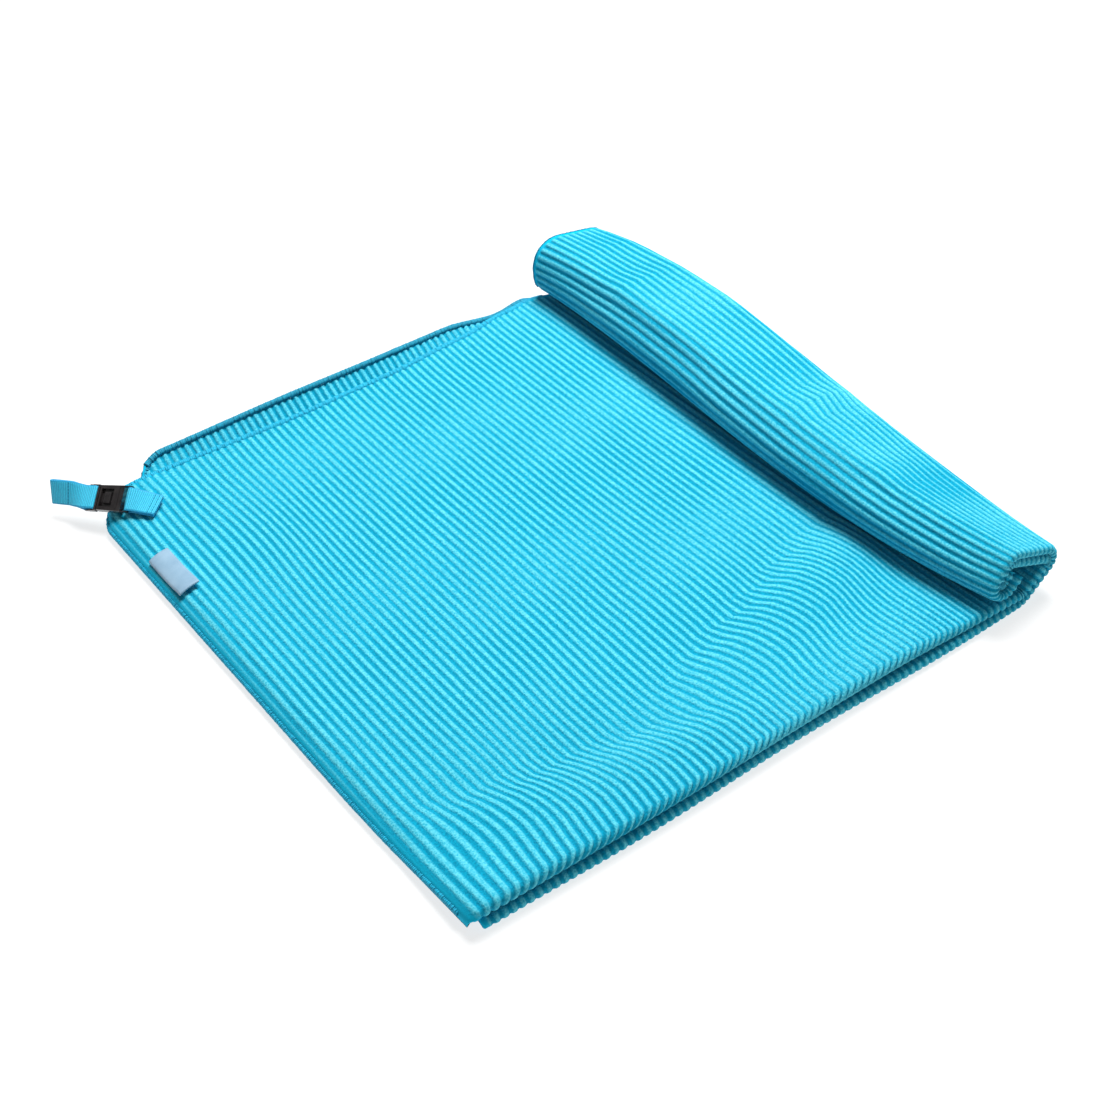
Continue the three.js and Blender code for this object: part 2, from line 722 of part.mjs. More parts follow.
const group = new THREE.Group();
addPiece("towel", towelGeometry(), "#2bbde0", 0.95);
addPiece("hang_tab", tabGeometry(), "#1fa9d8", 0.7);
addPiece("hang_loop", loopGeometry(), "#1fa9d8", 0.7);
placeClip(addPiece("clip_socket", socketGeometry(), "#2b2624", 0.4));
placeClip(addPiece("clip_tongue", tongueGeometry(), "#1c1a1a", 0.35));
addPiece("label", labelGeometry(), "#b3cbe4", 0.75);

export default group;
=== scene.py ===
# %% [markdown]
# # A rolled travel towel
#
# A ribbed microfibre towel is folded back and forth into four layers, laid flat,
# and rolled up from its far end. A webbing tab and loop with a small side-clip
# hang at one corner, and a folded label is sewn beside the near hem.
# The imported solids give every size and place. This lesson makes the fine cloth
# over them, cell by cell, in the same frame: +X towards the roll, +Y towards the
# stacked hems, +Z up.

import json
import math

import bpy
import numpy as np
from mathutils import Matrix, Vector

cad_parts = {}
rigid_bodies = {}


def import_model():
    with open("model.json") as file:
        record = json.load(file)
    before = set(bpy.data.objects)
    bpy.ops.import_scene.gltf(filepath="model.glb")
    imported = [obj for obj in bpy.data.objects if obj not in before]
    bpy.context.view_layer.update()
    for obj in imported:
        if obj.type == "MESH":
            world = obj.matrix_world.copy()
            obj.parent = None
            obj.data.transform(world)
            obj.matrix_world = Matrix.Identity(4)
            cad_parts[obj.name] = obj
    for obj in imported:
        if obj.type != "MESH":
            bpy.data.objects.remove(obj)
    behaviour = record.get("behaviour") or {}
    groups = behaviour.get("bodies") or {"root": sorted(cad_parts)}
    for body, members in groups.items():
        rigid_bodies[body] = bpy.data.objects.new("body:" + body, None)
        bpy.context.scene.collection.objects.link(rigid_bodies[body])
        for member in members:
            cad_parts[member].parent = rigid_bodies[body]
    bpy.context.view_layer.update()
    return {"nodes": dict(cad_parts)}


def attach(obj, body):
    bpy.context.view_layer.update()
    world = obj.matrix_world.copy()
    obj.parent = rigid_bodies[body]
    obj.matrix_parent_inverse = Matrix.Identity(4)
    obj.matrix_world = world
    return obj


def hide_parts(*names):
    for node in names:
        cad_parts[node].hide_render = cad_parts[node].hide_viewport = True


for leftover in list(bpy.data.objects):
    bpy.data.objects.remove(leftover)
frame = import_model()
MM = 0.001
print("solids:", sorted(frame["nodes"]))

# %% [markdown]
# ## How thick the cloth is and how its layers lie
#
# The real towel is a plush knit with a rib every 3.5 mm. Its thickness shrinks a
# little where it is wound. A few tables hold everything that is not even about
# the fold: where each hem lies, how much it curls, and where the hidden fold is.
# Tables with short rows are used because a reader can change one number and see
# the hem move.

# %% Sizes of the cloth
RIB, CLOTH, WOUND_CLOTH = 3.5, 1.8, 1.56
LAYER_GAP, WOUND_GAP = 0.3, 0.34
# how high a rib stands from its middle to its crest, and the share of that on the
# flat part, on the lower front fold and on the roll
RELIEF, FLAT_RELIEF, LOW_FOLD_SHARE, ROLL_SHARE = 0.44, 0.5, 0.6, 0.8
HEM_SWELL, HEM_WIDTH = 0.3, 3.4
# where the strip beyond the hidden fold begins, and how wide the top hem's curl is
STRIP_GAP, CURL_REACH = 1.5, 22.0
# how far the front folds stand open, free and near the roll, and the hidden fold
OPEN_LOFT, PRESSED_LOFT, BACK_LOFT = 1.5, 0.12, 0.5
# the top layer's droop over the near ends, and how high its front corner stays
DROOP, CORNER_DROOP, CORNER_LIFT = 12.0, 9.0, 2.6
# how far the lower layers stand back from the near edge
SETBACK, CORNER_SETBACK = 11.0, 5.5
NEAR_EDGE, FOLD_Y = -134.5, -153.5
PATH_START, ROLL_TOUCH, FLAT_END, WOUND_LENGTH = -140.0, 108.0, 118.0, 126.0
TOWEL_END = FLAT_END + WOUND_LENGTH
FRONT, BACK_END = -154.0, 150.0
JUST_OFF_TABLE = 0.02

# x, top hem, its curl, bottom hem, its curl, hidden fold
MARGINS = np.array([
    (-134.5, 129, 0, 131, 0, 116),
    (-120, 135, 1, 138, 5, 119),
    (-95, 135, 1.8, 147.5, 9.5, 120),
    (-35, 132.5, 2, 147, 10.5, 118),
    (14, 133.5, 2, 147, 10, 118),
    (55, 137.5, 1.5, 149.5, 8, 121),
    (86, 143, 1, 150, 3.5, 127),
    (102, 146, 0, 153, 3, 130),
    (122, 142, 0, 145, 0, 130),
])
MARGIN_NAMES = {"top_hem": 1, "top_curl": 2, "bottom_hem": 3, "bottom_curl": 4, "hidden_fold": 5}

# centre x and y, reach x and y, height, and how far the ribs are pushed along X
SOFT_RISES = [
    (-95, -110, 16, 40, 0.5, 1.5),
    (-40, -95, 30, 26, 0.9, -2),
    (35, -70, 24, 40, 0.7, 1.6),
    (78, 20, 18, 50, 0.8, -1.2),
    (-90, 70, 22, 34, 0.7, 2.4),
    (-110, 121, 11, 13, 2.4, 0),
]
print("rows of the margin table:", len(MARGINS), "soft rises:", len(SOFT_RISES))

# %% Smooth steps between numbers


def mix(a, b, t):
    return a + (b - a) * t


def ease(value, low, high):
    t = np.clip((np.asarray(value, float) - low) / (high - low), 0, 1)
    return t * t * (3 - 2 * t)


def margin(name, s):
    x = MARGINS[:, 0]
    row = np.clip(np.searchsorted(x[1:-1], s), 0, len(x) - 2)
    values = MARGINS[:, MARGIN_NAMES[name]]
    return mix(values[row], values[row + 1], ease((s - x[row]) / (x[row + 1] - x[row]), 0, 1))


print("top hem in the middle, mm:", round(float(margin("top_hem", np.array([0.0]))[0]), 1))

# %% [markdown]
# ## The way the roll winds
#
# A rolled towel is a belt round a few soft corners. The underside of the stack
# follows straight runs and bends round four rollers: the toe on the table, the
# shoulder, the crest and the heel inside. Four sections along the roll have
# their own rollers, and a smooth curve through them gives the squashed front end
# and the rounder back end. The direction at each place is measured from the
# blended path itself, so layers stay parallel.

# %% The path round the rollers
SECTIONS = [
    (-150, [(124.5, 11, 11), (136.3, 16.2, 7.8), (118, 22.3, 9), (114, 18.9, 8)]),
    (-85, [(128.5, 12, 12), (138.3, 17.6, 8.6), (113, 22.6, 10.6), (107.3, 20, 9.5)]),
    (0, [(131, 12, 12), (141.2, 22.6, 10.4), (115, 24, 11.5), (109.3, 20.6, 9.8)]),
    (150, [(131, 12, 12), (137.5, 22.6, 11), (118.6, 24.4, 13), (116, 19.8, 10)]),
]
LAST_HEADING = math.radians(405)
END_RUN = 5.0


def path_round(rollers):
    pieces, done, x, z, heading = [], 0.0, PATH_START, 0.0, 0.0
    for i, (cx, cz, radius) in enumerate(rollers):
        run_x = cx + radius * math.sin(heading) - x
        run_z = cz - radius * math.cos(heading) - z
        pieces.append((x, z, heading, done, 0.0))
        done += math.hypot(run_x, run_z)
        x, z = x + run_x, z + run_z
        turn = LAST_HEADING - heading
        if i < len(rollers) - 1:
            nx, nz, next_radius = rollers[i + 1]
            lean = math.asin((next_radius - radius) / math.hypot(nx - cx, nz - cz))
            turn = (math.atan2(nz - cz, nx - cx) - lean - heading) % (2 * math.pi)
        pieces.append((x, z, heading, done, radius))
        done += radius * turn
        heading += turn
        x, z = cx + radius * math.sin(heading), cz - radius * math.cos(heading)
    pieces.append((x, z, heading, done, 0.0))
    table = np.array(pieces)
    flat = FLAT_END - PATH_START
    take_up = (done + END_RUN - flat) / WOUND_LENGTH

    def at(s):
        distance = np.minimum(s - PATH_START, flat) + np.maximum(0, s - FLAT_END) * take_up
        piece = np.searchsorted(table[:, 3], distance, "right") - 1
        x0, z0, h0, begin, radius = table[np.clip(piece, 0, None)].T
        along = distance - begin
        bent = radius > 0
        safe = np.where(bent, radius, 1)
        turned = h0 + along / safe
        xs = np.where(bent, x0 + (np.sin(turned) - np.sin(h0)) * safe, x0 + np.cos(h0) * along)
        zs = np.where(bent, z0 - (np.cos(turned) - np.cos(h0)) * safe, z0 + np.sin(h0) * along)
        return xs, zs

    return at


PATHS = [(y, path_round(rollers)) for y, rollers in SECTIONS]
print("path pieces in a section:", 2 * len(SECTIONS[0][1]) + 1)

# %% Blend the sections


def on_path(s, y):
    y = np.clip(y, FRONT, BACK_END)
    x, z = 0, 0
    for here, path in PATHS:
        share = np.ones_like(y)
        for other, _ in PATHS:
            if other != here:
                share = share * (y - other) / (here - other)
        px, pz = path(s)
        x, z = x + share * px, z + share * pz
    return x, z


def place(s, y, h):
    reach = 1.5
    x, z = on_path(s, y)
    bx, bz = on_path(s - reach, y)
    ax, az = on_path(s + reach, y)
    run = np.hypot(ax - bx, az - bz)
    return np.stack([x - h * (az - bz) / run, y, z + h * (ax - bx) / run], -1)


top_of_roll = max(place(np.array([s]), np.array([0.0]), 0.0)[0][2] for s in range(120, 240))
print("highest place of the path, mm:", round(float(top_of_roll), 1))

# %% [markdown]
# ## Heights of the four layers
#
# The bottom layer lies on the table, each next layer lies a little above it, and
# the top layer drapes over the near ends of the others. Loft at the front keeps
# the folds round, as they are before anyone presses them.

# %% How wound and how thick


def rolled_share(s):
    return ease(s, ROLL_TOUCH - 12, 136)


def thickness(s):
    return mix(CLOTH, WOUND_CLOTH, rolled_share(s))


def rise(s, y, column):
    total = 0
    for rise_row in SOFT_RISES:
        cx, cy, rx, ry = rise_row[:4]
        total = total + rise_row[column] * np.exp(-((s - cx) / rx) ** 2 - ((y - cy) / ry) ** 2)
    return total


spot = np.array([0.0])
print("thickness in the flat part and in the roll, mm:", CLOTH, WOUND_CLOTH)

# %% Heights of the layers


def near_hem(y):
    return NEAR_EDGE + 1.6 - 1.6 * ease(y, -153, -60) + 6 * ease(y, 118, 137)


def layer_heights(s, y):
    rolled = rolled_share(s)
    thick = thickness(s)
    step = thick + mix(LAYER_GAP, WOUND_GAP, rolled)
    front = 1 - ease(y, FOLD_Y, FOLD_Y + 42)
    loft = mix(OPEN_LOFT, PRESSED_LOFT, ease(s, 55, ROLL_TOUCH)) * front
    fold = margin("hidden_fold", s)
    back_loft = mix(BACK_LOFT, 0, rolled) * ease((y - fold + 40) / 40, 0, 1)
    past = y - fold - STRIP_GAP
    strip = np.maximum(0, past / (margin("bottom_hem", s) - fold - STRIP_GAP))
    h4 = thick / 2 + margin("bottom_curl", s) * strip ** 2
    h3 = thick / 2 + step + 0.2 * loft
    h2 = thick / 2 + 2 * step + loft + back_loft
    curl = np.maximum(0, 1 - (margin("top_hem", s) - y) / CURL_REACH)
    top = h2 + step + loft + rise(s, y, 4) * (1 - rolled) + margin("top_curl", s) * curl ** 2
    at_front = 1 - ease(y, -150, -98)
    hem_height = thick / 2 + CORNER_LIFT * at_front
    t = np.clip((s - near_hem(y)) / mix(DROOP, CORNER_DROOP, at_front), 0, 1)
    h1 = mix(hem_height, top, np.sqrt(1 - (1 - t) ** 2))
    return h4, h3, np.minimum(h2, h1 - step - 0.5 * (1 - t)), h1


middle_heights = [round(float(h[0]), 2) for h in layer_heights(spot, spot)]
print("layer heights in the middle, mm:", middle_heights)

# %% Near ends and folds


def layer_start(layer, y):
    if layer == 1:
        return near_hem(y)
    at_front = 1 - ease(y, FOLD_Y, -110)
    corner = 34 * ease(y, 112, 150) if layer == 4 else 0
    return NEAR_EDGE + mix(SETBACK, CORNER_SETBACK, at_front) + (layer - 2) * 0.6 + corner


def fold_edge(upper, s):
    if upper == 2:
        return margin("hidden_fold", s)
    if upper == 1:
        return FOLD_Y + 0.8 + 0.5 * np.sin(s / 31)
    return FOLD_Y + 0.7 * np.sin(s / 23 + 1)


def fold_round(upper, s):
    heights = layer_heights(s, fold_edge(upper, s))
    above, below = heights[4 - upper], heights[3 - upper]
    return (above + below) / 2, (above - below) / 2


def fold_inset(upper, s):
    reach = fold_round(upper, s)[1] + thickness(s) / 2
    return fold_edge(upper, s) + (-reach if upper == 2 else reach)


print("radius of the upper front fold, mm:", round(float(fold_round(1, spot)[1][0]), 2))

# %% [markdown]
# ## Ribs, waves and creases
#
# Plush ribs are broad and round, with narrow grooves between. Six rows of points
# to a rib hold that shape: one on the crest, one in the groove and two on each
# flank. Nothing made of cloth is even, so a slow wave moves the ribs sideways,
# and a short list of creases is placed where the roll and the flat part
# are pushed together.

# %% Rib shape and creases
ROW_PHASES = [0, 0.2, 0.36, 0.5, 0.64, 0.8]

# two long creases near the front fold: x, where the crease lies in y, and how far
# the ribs are pushed along X beyond it
LONG_CREASES = [
    [(-134.5, -90, 0), (-120, -98, 4), (-98, -107, 7), (-66, -112, 7.5),
     (-30, -120, 7), (-5, -128, 3), (20, -130, 0)],
    [(-30, -112, 0), (-16, -109, 4), (10, -97, 8), (38, -90, 11),
     (64, -78, 11), (90, -72, 5), (108, -70, 0)],
]

# along, across, direction in degrees, half length, half width, depth
CREASES_FLAT = [
    (92, 40, 84, 46, 6.0, -0.5),
    (84, -12, 96, 34, 6.0, 0.5),
    (-18, 8, 70, 50, 12.0, 0.35),
    (-58, 40, 84, 60, 12.0, -0.3),
    (30, 60, 96, 50, 12.0, 0.3),
    (-40, -40, 40, 40, 9.0, -0.5),
    (-4, -56, 30, 30, 8.0, -0.5),
]
CREASES_ROLL = [
    (181, -31, 4, 12, 2.6, 1.1),
    (184, -38, 6, 12, 3.6, -0.9),
    (181, -58, 2, 13, 2.6, 1.1),
    (184, -65, 4, 13, 3.6, -1.0),
    (186, -80, 0, 11, 2.4, 1.0),
    (202, -86, -35, 9, 2.6, -1.4),
    (190, -92, 0, 12, 4.5, -0.8),
    (193, 82, 20, 10, 3.0, -0.8),
    (181, 118, 10, 12, 4.0, 0.8),
    (186, 100, 5, 14, 4.0, -0.7),
    (176, 60, 60, 20, 5.0, 0.5),
    (205, 20, 80, 30, 6.0, -0.5),
]
# along and across, reach both ways, and how far the roll's ribs are pushed along
JOGS = [
    (181, -34, 14, 6, -2.4),
    (181, -61, 14, 6, -2.4),
    (186, -83, 13, 6, -2.2),
    (192, 86, 14, 10, -1.4),
    (183, 110, 14, 12, 1.0),
]

print("creases:", len(LONG_CREASES) + len(CREASES_FLAT) + len(CREASES_ROLL), "jogs:", len(JOGS))

# %% How the ribs follow them


def jogs(s, y):
    return sum(push * np.exp(-(((s - cs) / rs) ** 2) - ((y - cy) / ry) ** 2)
               for cs, cy, rs, ry, push in JOGS)


def pushed(s, y):
    """How far the ribs are pushed along X past the long creases, and how the cloth rises."""
    shift, lift = 0, 0
    for rows_of_crease in LONG_CREASES:
        x, where, push = np.array(rows_of_crease, float).T
        crease = sum(np.interp(s + d, x, where) for d in (-9, 0, 9)) / 3
        amount = sum(np.interp(s + d, x, push) for d in (-9, 0, 9)) / 3
        amount = amount * ease(s, NEAR_EDGE + 2, NEAR_EDGE + 18)
        past = crease - y
        beyond = (past + np.sqrt(past ** 2 + 9)) / 2
        grows = 1 - (1 - np.clip(beyond / 32, 0, 1)) ** 2
        shift = shift + amount * (grows - 0.35 * ease(past, 24, 52))
        rises = 0.2 * (ease(past, -3, 12) - ease(past, 16, 40)) - 0.11 * np.exp(-((past / 6) ** 2))
        lift = lift + amount * rises * ease(y, FOLD_Y + 4, FOLD_Y + 18)
    return shift, lift


def creases(rows, s, y):
    total = np.zeros(np.broadcast(s, y).shape)
    for cs, cy, angle, half_length, half_width, depth in rows:
        a = math.radians(angle)
        u = (s - cs) * math.cos(a) + (y - cy) * math.sin(a)
        v = (y - cy) * math.cos(a) - (s - cs) * math.sin(a)
        v = v + 1.6 * np.sin(u / half_length * 2.1)
        total = total + depth * np.exp(-(u / half_length) ** 2 - (v / half_width) ** 2)
    return total


print("depth of the first crease, mm:", CREASES_FLAT[0][-1])

# %% Ribs and the rows that carry them


def rib_height(s):
    off_crest = np.abs((s / RIB + 0.5) % 1 - 0.5)
    return 1 - 2 * ease(off_crest, 0.14, 0.5)


def wave(s, y):
    return 0.34 * np.sin(y / 17 + s / 41) + 0.22 * np.sin(y / 7.3 - s / 23 + 1)


def sway(s, y):
    fade = ease(s, NEAR_EDGE + 4, NEAR_EDGE + 30) * (1 - ease(s, 90, 112)) * ease(y, -150, -120)
    return rise(s, y, 5) * fade


rows = []
rib = math.floor(NEAR_EDGE / RIB)
while rib * RIB < TOWEL_END:
    rows += [(rib + phase) * RIB for phase in ROW_PHASES]
    rib += 1
hem_rows = [NEAR_EDGE + d for d in (0, 0.25, 0.7, 1.3, 2.1, 2.9, 3.5)]
rows = np.array(hem_rows + [s for s in rows if NEAR_EDGE + 4 < s < TOWEL_END - 0.5] + [TOWEL_END])
print("rows along the towel:", len(rows))

# %% [markdown]
# ## The towel as one folded sheet
#
# One grid makes the whole cloth. Its rows run across the towel, rib by rib. Its
# columns run round one section of the fold: over the top layer, round the front
# fold, under it, round the hidden fold, and so on to the bottom hem, and then
# back along the other face. The columns are close together where the cloth is
# seen and far apart inside. Two UV numbers go along: ribs along U, and along V
# the distance round the fold, counted in rib widths. They tell the finish where
# each rib lies.

# %% Where a column begins, and its hem
JOIN = -78.0
RIBS_FROM, RIBS_FULL = 2.2, 3.2


def starting_at(start):
    """Rows that begin at this column's own near end and meet the common rows later."""
    squeezed = start + (rows - NEAR_EDGE) * (JOIN - start) / (JOIN - NEAR_EDGE)
    return np.where(rows < JOIN, squeezed, rows)


def swell(s, start):
    """The near hem is fuller than the cloth and rounded at its very edge."""
    into = s - start
    rounded = np.sqrt(np.clip(1 - (1 - np.clip(into / 0.9, 0, 1)) ** 2, 0, 1))
    return rounded, HEM_SWELL * (1 - ease(into, 2.3, HEM_WIDTH))


def near_share(s, start):
    """1 on the near hem's thread, 0 past it."""
    return 1 - ease(s - start, 1.7, 2.3)


print("hem columns join the common rows at x =", JOIN)

# %% A column over one layer


def layer_column(layer, side, line, hem_share=0.0):
    start = float(layer_start(layer, float(line(np.array([NEAR_EDGE]))[0])))
    s = starting_at(start)
    y = line(s)
    facing = side if layer % 2 == 1 else -side
    height = layer_heights(s, y)[4 - layer]
    rounded, fuller = swell(s, start)
    shown = 0.0
    if layer == 1 and side == 1:
        shown = 1 - ease(s, ROLL_TOUCH + 4, ROLL_TOUCH + 14)
    elif layer == 4 and side == 1:
        shown = ease(s, 131, 141) * ROLL_SHARE
    elif layer == 4:
        shown = (1 - ease(s, 90, ROLL_TOUCH)) * ease(y - margin("hidden_fold", s), 1, 6)
    if layer == 1:
        shown = shown * mix(1, FLAT_RELIEF, ease(y, FOLD_Y + 2, FOLD_Y + 26))
    shown = shown * (1 - hem_share) * ease(s - start, RIBS_FROM, RIBS_FULL)
    ribs = RELIEF * rib_height(s + wave(s, y)) * shown
    bulk = HEM_SWELL * hem_share if facing == 1 else 0.0
    fuller = fuller if facing == 1 else 0
    outside = facing * ((thickness(s) / 2 + bulk + fuller) * rounded + ribs)
    soft, shift = 0.0, 0
    if layer == 1:
        clear = ease(s, NEAR_EDGE + 8, NEAR_EDGE + 26) * (1 - ease(s, 94, 108))
        clear = clear * (1 - ease(y, 112, 128))
        shift, lifted = pushed(s, y)
        soft = creases(CREASES_FLAT, s, y) * clear * (1 if side == 1 else 0.4) + lifted
        shift = sway(s, y) + shift
    elif layer == 4 and side == 1:
        soft = -creases(CREASES_ROLL, s, y) * ease(s, 140, 150) * (1 - ease(s, 214, 226))
        shift = jogs(s, y)
    share = np.maximum(near_share(s, start), hem_share)
    return place(s + shift, y, height + outside + soft), s, start, share


print("full height of a rib, from its middle to its crest, mm:", RELIEF)

# %% A column round a fold or a hem


def fold_column(upper, angle, side):
    towards = 1 if upper == 2 else -1
    bulging = -side if upper == 2 else side
    y0 = float(fold_edge(upper, np.array([NEAR_EDGE]))[0])
    start = float(mix(layer_start(upper, y0), layer_start(upper + 1, y0), angle / math.pi))
    s = starting_at(start)
    height, radius = fold_round(upper, s)
    thick = thickness(s)
    ribs = 0.0
    if bulging == 1 and upper != 2:
        relief = RELIEF * (1.0 if upper == 1 else LOW_FOLD_SHARE)
        ribs = relief * rib_height(s + wave(s, y0)) * ease(s - start, RIBS_FROM, RIBS_FULL)
    rounded = swell(s, start)[0]
    reach = radius + bulging * (thick / 2 * rounded + ribs)
    middle = fold_edge(upper, s) - towards * (radius + thick / 2)
    shift = pushed(s, fold_inset(1, s))[0] * (1 - ease(angle / math.pi, 0, 1)) if upper == 1 else 0
    y = middle + towards * reach * math.sin(angle)
    spots = place(s + shift, y, height + reach * math.cos(angle))
    return spots, s, start, near_share(s, start)


def hem_column(layer, angle):
    name = "top_hem" if layer == 1 else "bottom_hem"
    start = float(layer_start(layer, float(margin(name, np.array([NEAR_EDGE]))[0])))
    s = starting_at(start)
    radius = thickness(s) / 2 + 0.12
    y = margin(name, s) - radius + radius * math.sin(angle)
    height = layer_heights(s, margin(name, s))[4 - layer]
    return place(s, y, height + 0.15 + (radius + 0.15) * math.cos(angle)), s, start, np.ones_like(s)


print("share of that height on the lower front fold:", LOW_FOLD_SHARE)

# %% All the columns, once round


def hem_line(name, inward):
    return lambda s: margin(name, s) - inward


def between(a, b, t):
    return lambda s: mix(a(s), b(s), t)


HEM_IN = 3.6
top_in = hem_line("top_hem", HEM_IN)
low_in = hem_line("bottom_hem", HEM_IN)
strip_in = lambda s: margin("hidden_fold", s) + STRIP_GAP
insets = {n: (lambda s, n=n: fold_inset(n, s)) for n in (1, 2, 3)}
HEM_STEPS = [(1.2, 1.0), (1.8, 1.0), (2.3, 0.4), (2.9, 0.0)]


def layers_between(layer, side, a, b, steps, last=1):
    """Even columns over a layer from one line to another, with or without the last."""
    return [layer_column(layer, side, between(a, b, t / steps)) for t in range(steps + last)]


def face(side):
    fine = side == 1
    columns = [layer_column(1, side, hem_line("top_hem", d), f) for d, f in HEM_STEPS]
    columns += layers_between(1, side, top_in, insets[1], 44 if fine else 7)
    for upper, lower in ((1, 2), (2, 3), (3, 4)):
        steps = 9 if fine != (upper == 2) else 3
        turns = [math.pi * k / (steps + 1) for k in range(1, steps + 1)]
        columns += [fold_column(upper, turn, side) for turn in turns]
        if lower < 4:
            columns += layers_between(lower, side, insets[upper], insets[lower], 5)
    columns += layers_between(4, side, insets[3], strip_in, 26 if fine else 6, 0)
    columns += layers_between(4, side, strip_in, low_in, 9)
    columns += [layer_column(4, side, hem_line("bottom_hem", d), f) for d, f in reversed(HEM_STEPS)]
    return columns


outer, inner = face(1), face(-1)
top_edge = [hem_column(1, math.radians(a)) for a in (130, 90, 50, 15)]
low_edge = [hem_column(4, math.radians(a)) for a in (165, 130, 90, 50)]
loop = outer + low_edge + inner[::-1] + top_edge
print("columns round the fold:", len(loop), "faces:", len(loop) * (len(rows) - 1))

# %% [markdown]
# ## From columns to a mesh
#
# Neighbouring columns are joined by four-sided faces, and the two ends are closed
# by a strip between the faces of the cloth. The volume tells whether the faces
# look outward. If it is negative, every face is turned round.

# %% Two helpers for any mesh


def new_mesh(name, points, faces, uv=None):
    mesh = bpy.data.meshes.new(name)
    mesh.from_pydata((np.asarray(points) * MM).tolist(), [], [list(map(int, f)) for f in faces])
    if uv is not None:
        layer = mesh.uv_layers.new(name="cloth")
        corner = np.zeros(len(mesh.loops), dtype=np.int32)
        mesh.loops.foreach_get("vertex_index", corner)
        layer.data.foreach_set("uv", np.asarray(uv)[corner].astype(np.float32).ravel())
    mesh.polygons.foreach_set("use_smooth", [True] * len(mesh.polygons))
    mesh.update()
    piece = bpy.data.objects.new(name, mesh)
    bpy.context.scene.collection.objects.link(piece)
    return piece


def facing_out(points, faces):
    p = np.asarray(points, float)
    volume = 0.0
    for f in faces:
        for i in range(1, len(f) - 1):
            volume += np.dot(p[f[0]], np.cross(p[f[i]], p[f[i + 1]]))
    return faces if volume > 0 else [f[::-1] for f in faces]


print("points are given in millimetres, meshes are in metres")

# %% Join the columns
count, deep = len(loop), len(rows)
points = np.concatenate([column[0] for column in loop])
along = np.concatenate([column[1] for column in loop])
gaps = [0.0]
for a, b in zip(loop, loop[1:]):
    gaps.append(float(np.linalg.norm(b[0][deep // 3] - a[0][deep // 3])))
cloth_v = np.repeat(np.cumsum(gaps), deep)
hem_share = np.concatenate([column[3] for column in loop])
c, r = np.meshgrid(np.arange(count), np.arange(deep - 1), indexing="ij")
n = (c + 1) % count
here, there = c * deep + r, n * deep + r
quads = np.stack([here, here + 1, there + 1, there], -1).reshape(-1, 4)
print("four-sided faces:", len(quads))

# %% Close the two ends
ends = []
first, last = len(outer), len(outer) + len(low_edge)
back = [last + len(inner) - 1 - i for i in range(len(inner))]
o, i = 0, 0
while o < len(outer) - 1 or i < len(inner) - 1:
    outer_is_next = (o + 1) / len(outer) <= (i + 1) / len(inner)
    if i == len(inner) - 1 or (o < len(outer) - 1 and outer_is_next):
        ends.append((o, o + 1, back[i]))
        o += 1
    else:
        ends.append((o, back[i + 1], back[i]))
        i += 1
last_rim = [len(outer) - 1] + list(range(first, last)) + [back[-1]]
first_rim = [back[0]] + list(range(count - len(top_edge), count)) + [0]
caps = ends + [tuple(last_rim), tuple(first_rim)]
near_caps = [tuple(k * deep for k in cap) for cap in caps]
far_caps = [tuple(k * deep + deep - 1 for k in cap)[::-1] for cap in caps]
faces = [tuple(q) for q in quads] + near_caps + far_caps
print("faces that close the ends:", 2 * len(caps))

# %% Build the towel
corners = points[quads]
volume = 0.0
for b, c in ((1, 2), (2, 3)):
    turned_area = np.cross(corners[:, b], corners[:, c])
    volume += np.einsum("ij,ij->i", corners[:, 0], turned_area).sum()
if volume < 0:
    faces = [tuple(f[::-1]) for f in faces]
points[:, 2] = np.maximum(points[:, 2], JUST_OFF_TABLE)
towel = new_mesh("towel_cloth", points, faces, np.stack([along / RIB, cloth_v / RIB], -1))
towel.data.attributes.new("hem", "FLOAT", "POINT")
towel.data.attributes["hem"].data.foreach_set("value", hem_share.astype(np.float32))
print("towel faces:", len(towel.data.polygons), "faces outward already:", volume > 0)

# %% [markdown]
# ## Writing finishes as sums
#
# A finish is arithmetic on a few numbers: how far a place is from the crest of a
# rib, and how a noise varies there. A small class wraps a socket, so that such
# arithmetic can be written as it is spoken, and each sign adds one Math node.

# %% A small class for shader sums


class Wire:
    """A number that flows through a material."""

    def __init__(self, finish, socket):
        self.finish, self.socket = finish, socket

    def maths(self, operation, *others):
        node = self.finish.tree.nodes.new("ShaderNodeMath")
        node.operation = operation
        for slot, value in enumerate((self, *others)):
            self.finish.plug(node.inputs[slot], value)
        return Wire(self.finish, node.outputs[0])

    def __add__(self, other):
        return self.maths("ADD", other)

    def __sub__(self, other):
        return self.maths("SUBTRACT", other)

    def __mul__(self, other):
        return self.maths("MULTIPLY", other)

    def __truediv__(self, other):
        return self.maths("DIVIDE", other)

    def __radd__(self, other):
        return self + other

    def __rmul__(self, other):
        return self * other

    def __rsub__(self, other):
        return self * -1 + other

    def __rtruediv__(self, other):
        return self.maths("POWER", -1.0) * other

    def fraction(self):
        return self.maths("FRACT")

    def size(self):
        return self.maths("ABSOLUTE")

    def rises(self, low, high):
        return ((self - low) / (high - low)).maths("SMOOTH_MIN", 1.0, 0.2).maths("MAXIMUM", 0.0)


print("a number can be added, taken away, multiplied and divided")

# %% A small class for finishes


